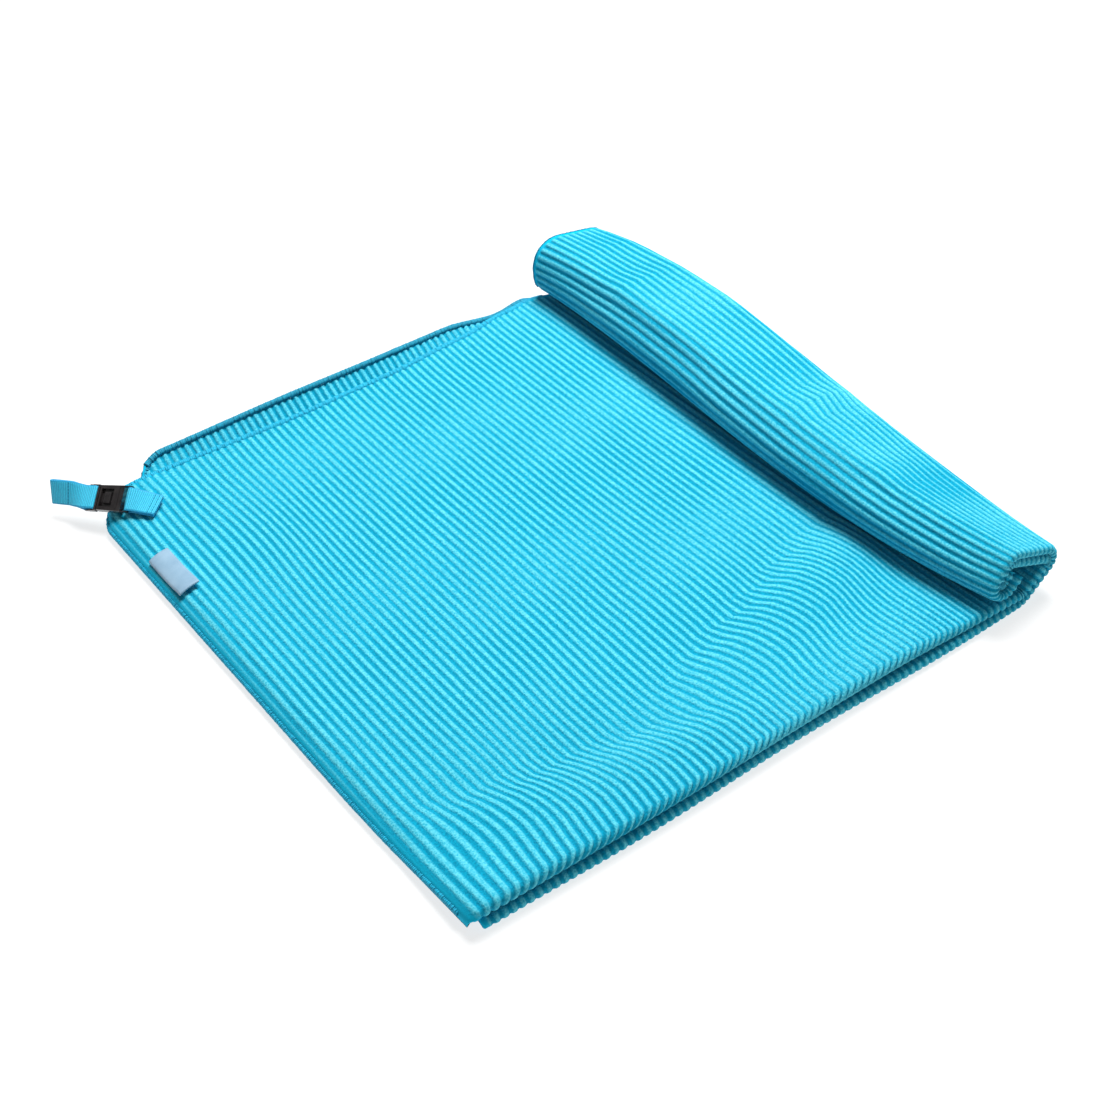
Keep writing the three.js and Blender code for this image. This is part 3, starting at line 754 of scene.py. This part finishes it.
class Finish:
    """A material under construction, with one method for any node."""

    def __init__(self, name):
        self.material = bpy.data.materials.new(name)
        self.material.use_nodes = True
        self.tree = self.material.node_tree
        self.shader = self.tree.nodes["Principled BSDF"]

    def plug(self, socket, value):
        if isinstance(value, Wire):
            self.tree.links.new(value.socket, socket)
        elif isinstance(value, bpy.types.NodeSocket):
            self.tree.links.new(value, socket)
        else:
            socket.default_value = value

    def node(self, kind, output=0, settings=None, **inputs):
        node = self.tree.nodes.new(kind)
        for name, value in (settings or {}).items():
            setattr(node, name, value)
        for name, value in inputs.items():
            self.plug(node.inputs[name.replace("_", " ")], value)
        return Wire(self, node.outputs[output])

    def blend(self, share, a, b):
        node = self.tree.nodes.new("ShaderNodeMix")
        node.data_type = "RGBA"
        self.plug(node.inputs[0], share)
        self.plug(node.inputs[6], a)
        self.plug(node.inputs[7], b)
        return Wire(self, node.outputs[2])

    def bump(self, height, distance, strength):
        return self.node("ShaderNodeBump", Height=height, Distance=distance, Strength=strength)

    def here(self):
        return self.node("ShaderNodeTexCoord", output=3)

    def noise(self, scale, roughness=0.5):
        return self.node("ShaderNodeTexNoise", Vector=self.here(), Scale=scale, Detail=2.0,
                         Roughness=roughness)

    def cloth_uv(self):
        """A piece's own two UV numbers."""
        uv = self.node("ShaderNodeUVMap", settings={"uv_map": "cloth"})
        split = self.node("ShaderNodeSeparateXYZ", Vector=uv)
        node = split.socket.node
        return Wire(self, node.outputs[0]), Wire(self, node.outputs[1])

    def set(self, **inputs):
        for name, value in inputs.items():
            self.plug(self.shader.inputs[name.replace("_", " ")], value)
        return self.material


print("a finish can hold noise, bump and blends")

# %% Colours as a screen shows them


def colour(red, green, blue):
    """A colour as a screen shows it, 0 to 255, turned into light."""
    parts = []
    for c in (red / 255, green / 255, blue / 255):
        parts.append(c / 12.92 if c <= 0.04045 else ((c + 0.055) / 1.055) ** 2.4)
    return (*parts, 1.0)


print("half grey as light:", round(colour(128, 128, 128)[0], 3))

# %% [markdown]
# ## The towel's finish
#
# The ribs are pale cyan with a speckle of looped fibres, and the grooves between
# them are a strong, deeper cyan. Hems have no ribs and show the strong colour of
# the overlock thread. The distance from the crest comes from the U number, and
# fine noise breaks the border between rib and groove, because loops of pile lean
# over it.

# %% Ribbed microfibre


def ribbed_microfibre():
    f = Finish("ribbed_microfibre")
    u, _ = f.cloth_uv()
    slow = f.noise(55.0)
    loops = f.noise(1150.0, 0.6)
    tufts = f.node("ShaderNodeTexVoronoi", Vector=f.here(), Scale=1250.0, Randomness=1.0)
    off_crest = ((u + (loops - 0.5) * 0.14 + 0.5).fraction() - 0.5).size()
    groove = off_crest.rises(0.15, 0.34)
    speckle = (loops * 0.75 + tufts * 0.42 - 0.12).rises(0.22, 0.62)
    pile = f.blend(speckle, colour(26, 168, 196), colour(98, 206, 224))
    deep = f.blend(speckle, colour(0, 130, 164), colour(2, 160, 194))
    tint = f.blend(groove + (slow - 0.5) * 0.12, pile, deep)
    hem = f.node("ShaderNodeAttribute", output=2, settings={"attribute_name": "hem"})
    tint = f.blend(hem, tint, colour(0, 178, 214))
    height = ((1 - groove) * 0.3 + loops * 0.5 + tufts * 0.25) * (1 - hem * 0.6)
    return f.set(Base_Color=tint, Roughness=0.92, Specular_IOR_Level=0.12, Sheen_Weight=0.03,
                 Normal=f.bump(height, 0.00045, 0.75))


towel.data.materials.append(ribbed_microfibre())
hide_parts("towel")
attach(towel, "root")
print("towel finished")

# %% [markdown]
# ## Overlock thread on the hems
#
# An overlock machine wraps thread over the cut edge, stitch by stitch, and the
# wraps lie side by side as a soft cord. One wrap is a short bent bead of thread.
# Geometry Nodes puts a copy at every point of the hem's line, turned by numbers
# kept on the points, and joins them. That is shorter than placing each stitch
# and keeps every stitch the same.

# %% One stitch
STITCH_GAP = 0.86
STITCH_REACH, STITCH_SHIFT, FLATTER = 1.38, 1.0, 0.12
THREAD_HALF_DEPTH, THREAD_HALF_WIDTH = 0.3, 0.58


def tube(verts, sides, steps):
    """Closes rings of points into a tube with two ends."""
    made = []
    for k in range(steps):
        for j in range(sides):
            a, b = k * sides + j, k * sides + (j + 1) % sides
            made.append((a, b, b + sides, a + sides))
    made.append(tuple(range(sides))[::-1])
    made.append(tuple(steps * sides + j for j in range(sides)))
    return verts, facing_out(verts, made)


def wrapped_stitch():
    """Three quarters of a ring of thread round the edge, open below and slanted."""
    sides, steps, reach = 5, 6, STITCH_REACH
    verts = []
    for k in range(steps + 1):
        a = math.radians(mix(-70, 195, k / steps))
        slant = 0.55 * (k / steps - 0.5)
        from_hem = reach * math.cos(a) - STITCH_SHIFT
        centre = Vector((from_hem, slant, (reach - FLATTER) * math.sin(a)))
        for j in range(sides):
            b = 2 * math.pi * j / sides
            out = Vector((math.cos(a), 0, math.sin(a))) * math.cos(b) * THREAD_HALF_DEPTH
            verts.append(centre + out + Vector((0, 1, 0)) * math.sin(b) * THREAD_HALF_WIDTH)
    return tube(verts, sides, steps)


print("faces in one stitch:", len(wrapped_stitch()[1]))

# %% Even places along a hem


def evenly(line, ups, gap):
    """Points every gap along a line, with the direction and the up direction there."""
    steps = np.linalg.norm(np.diff(line, axis=0), axis=1)
    done = np.concatenate([[0], np.cumsum(steps)])
    at = np.arange(gap / 2, done[-1], gap)

    def read(values, where):
        return np.stack([np.interp(where, done, values[:, k]) for k in range(3)], -1)

    along_it = read(line, at + 1.2) - read(line, at - 1.2)
    return read(line, at), along_it / np.linalg.norm(along_it, axis=1)[:, None], read(ups, at)


def turned_to(direction, up):
    """Turns whose Y runs along a direction, with Z as near up as can be."""
    turns = []
    for d, n_up in zip(direction, up):
        y_axis = Vector(d)
        x_axis = y_axis.cross(Vector(n_up)).normalized()
        z_axis = x_axis.cross(y_axis)
        turns.append(Matrix((x_axis, y_axis, z_axis)).transposed().to_euler())
    return np.array([tuple(t) for t in turns])


print("stitch gap, mm:", STITCH_GAP)

# %% Stitch nodes


def stitch_nodes(stitch, material):
    tree = bpy.data.node_groups.new("stitches_on_points", "GeometryNodeTree")
    tree.interface.new_socket("Geometry", in_out="INPUT", socket_type="NodeSocketGeometry")
    size = tree.interface.new_socket("Stitch size", in_out="INPUT", socket_type="NodeSocketFloat")
    size.default_value = 1.0
    spread = tree.interface.new_socket("Unevenness", in_out="INPUT", socket_type="NodeSocketFloat")
    spread.default_value = 0.08
    tree.interface.new_socket("Geometry", in_out="OUTPUT", socket_type="NodeSocketGeometry")
    add = tree.nodes.new
    given, out = add("NodeGroupInput"), add("NodeGroupOutput")
    info = add("GeometryNodeObjectInfo")
    info.inputs["Object"].default_value = stitch
    turn = add("GeometryNodeInputNamedAttribute")
    turn.data_type = "FLOAT_VECTOR"
    turn.inputs["Name"].default_value = "turn"
    uneven = add("FunctionNodeRandomValue")
    uneven.data_type = "FLOAT"
    uneven.inputs["Seed"].default_value = 7
    low, high = add("ShaderNodeMath"), add("ShaderNodeMath")
    low.operation, high.operation = "SUBTRACT", "ADD"
    put, real = add("GeometryNodeInstanceOnPoints"), add("GeometryNodeRealizeInstances")
    paint = add("GeometryNodeSetMaterial")
    paint.inputs["Material"].default_value = material
    link = tree.links.new
    floats = {s.identifier: s for s in uneven.inputs}
    link(given.outputs["Geometry"], put.inputs["Points"])
    link(info.outputs["Geometry"], put.inputs["Instance"])
    link(turn.outputs["Attribute"], put.inputs["Rotation"])
    for node in (low, high):
        link(given.outputs["Stitch size"], node.inputs[0])
        link(given.outputs["Unevenness"], node.inputs[1])
    link(low.outputs[0], floats["Min_001"])
    link(high.outputs[0], floats["Max_001"])
    link(next(s for s in uneven.outputs if s.identifier == "Value_001"), put.inputs["Scale"])
    link(put.outputs[0], real.inputs[0])
    link(real.outputs[0], paint.inputs[0])
    link(paint.outputs[0], out.inputs[0])
    return tree, size.identifier, spread.identifier


print("the nodes take a stitch size and an unevenness")

# %% Run the nodes and keep a plain mesh


def stitched(name, middle, turns, stitch_shape, material, size=1.0, unevenness=0.08):
    verts, made = stitch_shape
    stitch = new_mesh(name + "_one", [tuple(v) for v in verts], made)
    carrier = new_mesh(name + "_points", middle, [])
    carrier.data.attributes.new("turn", "FLOAT_VECTOR", "POINT")
    carrier.data.attributes["turn"].data.foreach_set("vector", turns.astype(np.float32).ravel())
    tree, size_id, spread_id = stitch_nodes(stitch, material)
    modifier = carrier.modifiers.new("stitches", "NODES")
    modifier.node_group = tree
    modifier[size_id] = size
    modifier[spread_id] = unevenness
    graph = bpy.context.evaluated_depsgraph_get()
    mesh = bpy.data.meshes.new_from_object(carrier.evaluated_get(graph))
    spots = np.zeros(len(mesh.vertices) * 3)
    mesh.vertices.foreach_get("co", spots)
    spots[2::3] = np.maximum(spots[2::3], JUST_OFF_TABLE * MM)
    mesh.vertices.foreach_set("co", spots)
    mesh.update()
    piece = bpy.data.objects.new(name, mesh)
    bpy.context.scene.collection.objects.link(piece)
    for extra in (carrier, stitch):
        bpy.data.objects.remove(extra)
    print(name, "stitches:", len(middle), "faces:", len(mesh.polygons))
    return piece


print("stitches stay", JUST_OFF_TABLE, "mm or more above the table")

# %% [markdown]
# ### The finish of the thread
#
# Overlock thread is fluffy polyester of one strong colour. A fine noise stands for
# its twist. The lower hems get the same thread painted darker, as painted shade.

# %% Thread


def twisted_thread(name, dark, light):
    f = Finish(name)
    twist = f.noise(900.0, 0.6)
    return f.set(Base_Color=f.blend(twist.rises(0.3, 0.7), dark, light), Roughness=0.7,
                 Normal=f.bump(twist, 0.0002, 0.6))


bright_thread = twisted_thread("bright_thread", colour(0, 152, 190), colour(6, 188, 222))
# the same thread painted darker: painted shade for the lower hems, which lie in shade
deep_thread = twisted_thread("deep_thread", colour(0, 124, 154), colour(0, 160, 192))
print("threads:", bright_thread.name, deep_thread.name)

# %% Lines of the two back hems
# each line comes with its up direction, and with True where it faces the near end
hem_lines = []
for layer, limit in ((1, ROLL_TOUCH + 2), (4, TOWEL_END - 20)):
    upper = hem_column(layer, math.radians(15))
    middle_line = hem_column(layer, math.radians(90))
    under = hem_column(layer, math.radians(165))
    keep = (middle_line[1] > middle_line[2] + 0.6) & (middle_line[1] < limit)
    hem_lines.append((middle_line[0][keep], (upper[0] - under[0])[keep], False))
print("points on the back hems:", [len(line) for line, _, _ in hem_lines])

# %% Lines of the near hem and of the lower corner
CORNER_LEFT_FREE, NEAR_HEM_STOP, NEAR_HEM_POINTS = 5, 128, 157
near_hem_start = float(insets[1](np.array([NEAR_EDGE]))[0]) + CORNER_LEFT_FREE
ys = np.linspace(near_hem_start, NEAR_HEM_STOP, NEAR_HEM_POINTS)
starts = near_hem(ys)
lift = layer_heights(starts + 0.2, ys)[3]
near_line = place(starts, ys, lift)
inside = place(starts + 2.5, ys, layer_heights(starts + 2.5, ys)[3])
hem_ups = np.cross(np.gradient(near_line, axis=0), inside - near_line)
hem_lines.append((near_line[::-1], hem_ups[::-1] * -1, True))

# the near ends of the columns round the lower corner, and places nine rows in
corner_columns = outer[-14:] + low_edge[:2]
corner_line = np.array([column[0][0] for column in corner_columns])
inside = np.array([column[0][9] for column in corner_columns])
hem_ups = np.cross(np.gradient(corner_line, axis=0), inside - corner_line)
hem_lines.append((corner_line[::-1], hem_ups[::-1] * -1, True))
print("points on the near hem and at the corner:", [len(line) for line, _, _ in hem_lines[2:]])

# %% Sew the overlock on the hems that show


def sew(name, lines, thread, size=1.0):
    middles, turns = [], []
    for line, ups, near in lines:
        middle, direction, up = evenly(line, ups, STITCH_GAP)
        outward = np.cross(direction, up)
        if near and outward[:, 0].mean() > 0 or not near and outward[:, 1].mean() < 0:
            direction = -direction
        middles.append(middle)
        turns.append(turned_to(direction, up))
    middles, turns = np.concatenate(middles), np.concatenate(turns)
    piece = stitched(name, middles, turns, wrapped_stitch(), thread, size)
    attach(piece, "root")
    return piece


top_line, bottom_line, near_hem_line, corner_hem_line = hem_lines
overlock = sew("overlock_upper", [top_line], bright_thread)
overlock_near = sew("overlock_near", [near_hem_line], bright_thread, 0.82)
# the lower hems take the thread with painted shade
overlock_low = sew("overlock_lower", [bottom_line, corner_hem_line], deep_thread)

# %% [markdown]
# ## Webbing of the tab and the loop
#
# Narrow polyester webbing is woven flat, with fine weft ribs across it and a
# firm edge. Both pieces are swept bands that follow the same twisting line as
# the solids. They are swept again here with closer rows, a slightly raised
# edge, and UV numbers for the weave.

# %% The twisting line of the webbing
WEB_WIDTH, WEB_THICK = 10.4, 0.8
WEB_START, WEB_AIM = (-114.3, 109.8), (-0.613, 0.79)
# along, aside, height of the upper face, tilt
WEB_LINE = np.array([
    (0, 0, 13.0, 14),
    (8, -0.6, 14.3, 23),
    (11.8, -1.1, 15.2, 32),
    (34.5, -1.1, 12.75, 32),
    (42, 0, 12.2, 55),
    (52, 0, 11.3, 68),
])
SEAM_PLIES, BAR_PLIES, END_PLIES = 1.1, 2.4, 1.7
BAR = 0.8
CLIP_START, LOOP_BAR, LOOP_END = 12.6, 17.6, 50.4


def web_at(column, along):
    """Straight between the rows, and carried on beyond the two ends."""
    row = 0
    while row < len(WEB_LINE) - 2 and along > WEB_LINE[row + 1][0]:
        row += 1
    a, b = WEB_LINE[row], WEB_LINE[row + 1]
    return mix(a[column], b[column], (along - a[0]) / (b[0] - a[0]))


def band_axes(climb, tilt):
    aim = Vector((*WEB_AIM, 0))
    side = Vector((WEB_AIM[1], -WEB_AIM[0], 0))
    up = Vector((0, 0, 1))
    run = aim * math.cos(climb) + up * math.sin(climb)
    out = (side * math.cos(tilt) + up * math.sin(tilt)).cross(run).normalized()
    return run, run.cross(out), out


def axes_at(along):
    climb = math.atan((web_at(2, along + 1) - web_at(2, along - 1)) / 2)
    return band_axes(climb, math.radians(web_at(3, along)))


def on_webbing(along, across_it, depth):
    _, wide, out = axes_at(along)
    aside = web_at(1, along)
    middle = Vector((
        WEB_START[0] + WEB_AIM[0] * along + WEB_AIM[1] * aside,
        WEB_START[1] + WEB_AIM[1] * along - WEB_AIM[0] * aside,
        web_at(2, along),
    ))
    return middle + wide * across_it - out * depth


print("the webbing's line has", len(WEB_LINE), "rows")

# %% Side views of the tab and the loop
HALF = WEB_THICK / 2
RUN_GAP = 0.6


def arc(along, depth, radius, start, stop, steps=14):
    turn = [math.radians(mix(start, stop, k / steps)) for k in range(steps + 1)]
    return [(along + radius * math.cos(a), depth + radius * math.sin(a)) for a in turn]


def run_to(start, stop):
    steps = max(1, round(abs(stop[0] - start[0]) / RUN_GAP))
    return [tuple(mix(a, b, k / steps) for a, b in zip(start, stop)) for k in range(steps)]


def tab_face(offset):
    low, high = HALF + SEAM_PLIES + offset, HALF - offset
    centre = CLIP_START + BAR / 2
    return (run_to((0, low), (8, low)) + [(8, low)]
            + arc(centre, HALF + BAR_PLIES / 2, BAR_PLIES / 2 + offset, 90, -90)
            + run_to((8, high), (0, high)) + [(0, high)])


def loop_face(offset):
    centre, high = CLIP_START + LOOP_BAR + BAR / 2, HALF - offset
    bar_turn = arc(centre, HALF + BAR_PLIES / 2, BAR_PLIES / 2 + offset, 90, 270)
    end_turn = arc(LOOP_END, HALF + END_PLIES / 2, END_PLIES / 2 + offset, -90, 90)
    upper = run_to((centre, high), (LOOP_END, high))[1:]
    return bar_turn + upper + end_turn + run_to(end_turn[-1], bar_turn[0])[1:]


print("points round the tab:", len(tab_face(0.0)), "round the loop:", len(loop_face(0.0)))

# %% Faces of any band
ACROSS = [-1, -0.97, -0.9, -0.72, -0.45, -0.15, 0.15, 0.45, 0.72, 0.9, 0.97, 1]


def band_faces(count, across_count, closed=False):
    """Faces of a band kept as rows across, two sides to a row, count points to a side."""
    made = []
    for k in range(count if closed else count - 1):
        onward = (k + 1) % count
        for row in range(across_count - 1):
            for side in (0, 1):
                start = row * 2 * count + side * count
                a, b = start + k, start + onward
                quad = (a, b, b + 2 * count, a + 2 * count)
                made.append(quad if side == 0 else quad[::-1])
        for row, flip in ((0, False), (across_count - 1, True)):
            a, b = row * 2 * count + k, row * 2 * count + onward
            quad = (b, a, a + count, b + count)
            made.append(quad[::-1] if flip else quad)
    if not closed:
        for row in range(across_count - 1):
            for k, flip in ((0, False), (count - 1, True)):
                a = row * 2 * count + k
                quad = (a, a + 2 * count, a + 3 * count, a + count)
                made.append(quad[::-1] if flip else quad)
    return made


print("rows across the webbing:", len(ACROSS))

# %% Sweep the webbing


def rim_share(w):
    """The webbing thins at its very edge and is a little fuller just inside it."""
    w = abs(w)
    return 0.62 if w == 1 else 0.94 if w > 0.95 else 1.04 if w > 0.85 else 1.0


def swept_band(name, face_line, closed):
    mid = face_line(0.0)
    normals = []
    for k in range(len(mid)):
        a = mid[k - 1] if closed or k > 0 else mid[k]
        b = mid[(k + 1) % len(mid)] if closed or k < len(mid) - 1 else mid[k]
        run = math.hypot(b[0] - a[0], b[1] - a[1])
        normals.append(((b[1] - a[1]) / run, (a[0] - b[0]) / run))
    lengths = [0.0]
    for a, b in zip(mid, mid[1:]):
        lengths.append(lengths[-1] + math.hypot(b[0] - a[0], b[1] - a[1]))
    verts, uvs = [], []
    for w in ACROSS:
        aside = w * WEB_WIDTH / 2
        for off in (HALF * rim_share(w), -HALF * rim_share(w)):
            for (along_it, depth), (nx, ny), run in zip(mid, normals, lengths):
                verts.append(tuple(on_webbing(along_it + nx * off, aside, depth + ny * off)))
                uvs.append((run, aside))
    made = band_faces(len(mid), len(ACROSS), closed)
    return new_mesh(name, verts, facing_out(verts, made), uvs)


hang_tab = swept_band("webbing_tab", tab_face, False)
hang_loop = swept_band("webbing_loop", loop_face, True)
print("faces of the tab and the loop:", len(hang_tab.data.polygons), len(hang_loop.data.polygons))

# %% Weave


def woven_webbing():
    f = Finish("woven_webbing")
    run, wide = f.cloth_uv()
    fluff = f.noise(1400.0, 0.6)
    picks = run / 0.82
    weft = (picks.fraction() - 0.5).size() * 2
    warp = ((wide / 0.62 + (picks - picks.fraction()) * 0.5).fraction() - 0.5).size() * 2
    inside_edge = 1 - (wide.size() / (WEB_WIDTH / 2)).rises(0.86, 0.9)
    ribs = (1 - weft) * inside_edge
    tone = (ribs * 0.75 + fluff * 0.5 + warp * 0.12).rises(0.25, 1.0)
    paint = f.blend(tone, colour(0, 154, 202), colour(58, 216, 248))
    return f.set(Base_Color=paint, Roughness=0.62, Sheen_Weight=0.1,
                 Normal=f.bump(ribs * 0.8 + warp * 0.25 + fluff * 0.15, 0.00022, 0.9))


webbing_finish = woven_webbing()
for piece, node in ((hang_tab, "hang_tab"), (hang_loop, "hang_loop")):
    piece.data.materials.append(webbing_finish)
    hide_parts(node)
    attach(piece, "root")
    print(piece.name, "has the finish", webbing_finish.name)

# %% [markdown]
# ### The seams in the webbing
#
# The tab is sewn through the towel by two rows across its end, and the loop is
# closed by one row. Each stitch is a short sunken dash of thread, set by the same
# stitch nodes.

# %% Dashes of thread on the webbing


def dash():
    """A short run of thread, along Y, low and round-ended."""
    sides, steps = 6, 5
    verts = []
    for k in range(steps + 1):
        t = k / steps
        fat = 0.2 * math.sqrt(max(0.04, 1 - (2 * t - 1) ** 2))
        for j in range(sides):
            b = 2 * math.pi * j / sides
            verts.append(Vector((fat * math.cos(b), mix(-0.62, 0.62, t), fat * math.sin(b) * 0.8)))
    return tube(verts, sides, steps)


SEAM_ROWS, DASH_GAP, DASH_HEIGHT = (1.3, 3.0, 42.6), 1.42, 0.06
seam_middles, seam_runs, seam_ups = [], [], []
for along_it in SEAM_ROWS:
    _, wide, out = axes_at(along_it)
    for k in range(-3, 4):
        seam_middles.append(tuple(on_webbing(along_it, k * DASH_GAP, -DASH_HEIGHT)))
        seam_runs.append(tuple(wide))
        seam_ups.append(tuple(out))
seam_turns = turned_to(seam_runs, seam_ups)
seam_thread = twisted_thread("seam_thread", colour(0, 112, 150), colour(16, 158, 190))
seam_middles = np.array(seam_middles)
seams = stitched("webbing_seams", seam_middles, seam_turns, dash(), seam_thread, 1.0, 0.05)
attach(seams, "root")

# %% [markdown]
# ## The side-clip
#
# The clip is moulded in two parts of near-black nylon. The solids have its true
# shape, so a copy of each gets small rounded edges by a Bevel modifier. The finish
# is glossy, with a fine moulded grain and a few paler, duller patches of wear.

# %% Round the clip's edges


def moulded_nylon(name, base, paler):
    f = Finish(name)
    grain = f.noise(2600.0, 0.6)
    wear = f.noise(240.0)
    paint = f.blend(wear.rises(0.35, 0.75) * 0.7, base, paler)
    return f.set(Base_Color=paint, Roughness=wear * 0.12 + 0.14, Coat_Weight=0.8,
                 Normal=f.bump(grain, 0.00003, 0.4))


def rounded_copy(node, name, material, width):
    mesh = frame["nodes"][node].data.copy()
    piece = bpy.data.objects.new(name, mesh)
    bpy.context.scene.collection.objects.link(piece)
    mesh.materials.clear()
    mesh.materials.append(material)
    weld = piece.modifiers.new("weld", "WELD")
    weld.merge_threshold = 0.00001
    bevel = piece.modifiers.new("edges", "BEVEL")
    bevel.width, bevel.segments, bevel.limit_method = width, 2, "ANGLE"
    bevel.angle_limit = math.radians(40)
    graph = bpy.context.evaluated_depsgraph_get()
    piece.data = bpy.data.meshes.new_from_object(piece.evaluated_get(graph))
    piece.modifiers.clear()
    for polygon in piece.data.polygons:
        polygon.use_smooth = False
    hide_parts(node)
    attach(piece, "root")
    print(name, "faces:", len(piece.data.polygons))


case_nylon = moulded_nylon("socket_nylon", colour(24, 21, 22), colour(52, 47, 47))
latch_nylon = moulded_nylon("tongue_nylon", colour(18, 16, 17), colour(60, 56, 57))
rounded_copy("clip_socket", "clip_case", case_nylon, 0.12 * MM)
rounded_copy("clip_tongue", "clip_latch", latch_nylon, 0.1 * MM)

# %% [markdown]
# ## The label
#
# A soft satin tape is folded once and sewn by its open end beside the hem, and
# its folded end lifts. The band is swept over the same heights as the top
# layer's ribs, which keeps it just above them. It stays bare.

# %% Sweep the label
LABEL = {
    "near": -132.1, "far": -123.0, "wide": 9.1, "root": 85.0, "fold": 56.4,
    "ply": 0.4, "apart": 0.7, "ribs": 0.42, "clear": 0.45, "lift": 1.2,
}


def label_tape():
    q = LABEL
    turn = q["fold"] + q["apart"] / 2 + q["ply"] / 2
    low, high = q["ply"] / 2, q["ply"] / 2 + q["apart"]
    mid = run_to((q["root"], low), (turn, low))
    mid += arc(turn, (low + high) / 2, q["apart"] / 2, 270, 90, 10)
    mid += run_to((turn, high), (q["root"], high))[1:] + [(q["root"], high)]
    count = len(mid)
    across_count = 13
    verts, uvs = np.zeros((across_count, 2, count, 3)), []
    for w in range(across_count):
        t = w / (across_count - 1)
        rim = 0.55 if w in (0, across_count - 1) else 1.0
        s = mix(q["near"], q["far"], t)
        for side in (0, 1):
            for k, (y, height) in enumerate(mid):
                a, b = mid[max(0, k - 1)], mid[min(count - 1, k + 1)]
                run = math.hypot(b[0] - a[0], b[1] - a[1])
                off = (1 if side == 0 else -1) * q["ply"] / 2 * rim
                yy, hh = y + (a[1] - b[1]) / run * off, height + (b[0] - a[0]) / run * off
                sa, ya = np.array([s]), np.array([yy])
                rest = layer_heights(sa, ya)[3] + CLOTH / 2 + q["ribs"] + q["clear"]
                up = q["lift"] * ease(q["root"] - yy, 12, q["root"] - q["fold"]) ** 1.5
                verts[w, side, k] = place(sa, ya, rest + hh + up)[0]
                uvs.append((k * RUN_GAP, t * q["wide"]))
    flat = verts.reshape(-1, 3)
    return new_mesh("satin_label", flat, facing_out(flat, band_faces(count, across_count)), uvs)


label = label_tape()
print("label faces:", len(label.data.polygons))

# %% Finish of the label


def satin_tape():
    f = Finish("satin_tape")
    run, wide = f.cloth_uv()
    cloud = f.noise(160.0)
    threads = ((wide / 0.22).fraction() - 0.5).size() + ((run / 0.3).fraction() - 0.5).size() * 0.6
    tone = cloud.rises(0.3, 0.7) * 0.6 + threads * 0.25
    paint = f.blend(tone, colour(128, 164, 190), colour(158, 190, 212))
    return f.set(Base_Color=paint, Roughness=0.48, Sheen_Weight=0.1,
                 Normal=f.bump(threads, 0.00006, 0.6))


label.data.materials.append(satin_tape())
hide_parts("label")
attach(label, "root")
print("label finished")

# %% [markdown]
# ## Floor, light and camera
#
# The photograph has a plain white sweep and soft shade. One broad light stands
# above, towards the roll and the back hems, and an even world fills the shade. The
# floor also gives out some light of its own, which keeps it white and its
# shadows faint. The camera stands where the photograph was taken from.

# %% Studio


def soft_light(name, energy, size, where, aim):
    data = bpy.data.lights.new(name, "AREA")
    data.shape, data.size, data.energy = "SQUARE", size, energy
    lamp = bpy.data.objects.new(name, data)
    bpy.context.scene.collection.objects.link(lamp)
    lamp.location = where
    lamp.rotation_euler = (Vector(aim) - Vector(where)).to_track_quat("-Z", "Y").to_euler()


# the paper reaches 4 m each way and lies just under the towel
WIDE, BELOW = 4000, -0.3
sweep = [(x * WIDE, y * WIDE, BELOW) for x, y in ((-1, -1), (1, -1), (1, 1), (-1, 1))]
floor = new_mesh("floor", sweep, [(0, 1, 2, 3)])
paper = Finish("white_paper")
grey = paper.blend(paper.noise(3.0) * 0.1, (0.25, 0.25, 0.25, 1), (0.24, 0.24, 0.24, 1))
floor.data.materials.append(paper.set(Base_Color=grey, Roughness=0.9,
                                      Emission_Color=(1, 1, 1, 1), Emission_Strength=0.76))
soft_light("key_above", 25.5, 0.6, (0.38, 0.24, 1.16), (0.0, 0.0, 0.0))
world = bpy.data.worlds.new("studio")
world.use_nodes = True
world.node_tree.nodes["Background"].inputs[0].default_value = (1, 1, 1, 1)
world.node_tree.nodes["Background"].inputs[1].default_value = 0.2
bpy.context.scene.world = world
bpy.context.scene.view_settings.view_transform = "Standard"
print("lights:", len(bpy.data.lights))

# %% Camera
RIGHT, UP = (0.80595, -0.58987, -0.05024), (0.41170, 0.49749, 0.76354)
BACK, STANDS = (-0.42538, -0.63605, 0.64380), (-0.3108, -0.4852, 0.4762)
FOCAL_PIXELS, FRAME_PIXELS, SENSOR = 1804.0, 1120, 36.0
lens = bpy.data.cameras.new("camera")
lens.sensor_width, lens.lens = SENSOR, FOCAL_PIXELS / FRAME_PIXELS * SENSOR
lens.clip_start, lens.clip_end = 0.01, 20
camera = bpy.data.objects.new("camera", lens)
bpy.context.scene.collection.objects.link(camera)
turn = Matrix((RIGHT, UP, BACK)).transposed().to_4x4()
camera.matrix_world = Matrix.Translation(STANDS) @ turn
bpy.context.scene.camera = camera
print("lens, mm:", round(lens.lens, 2))
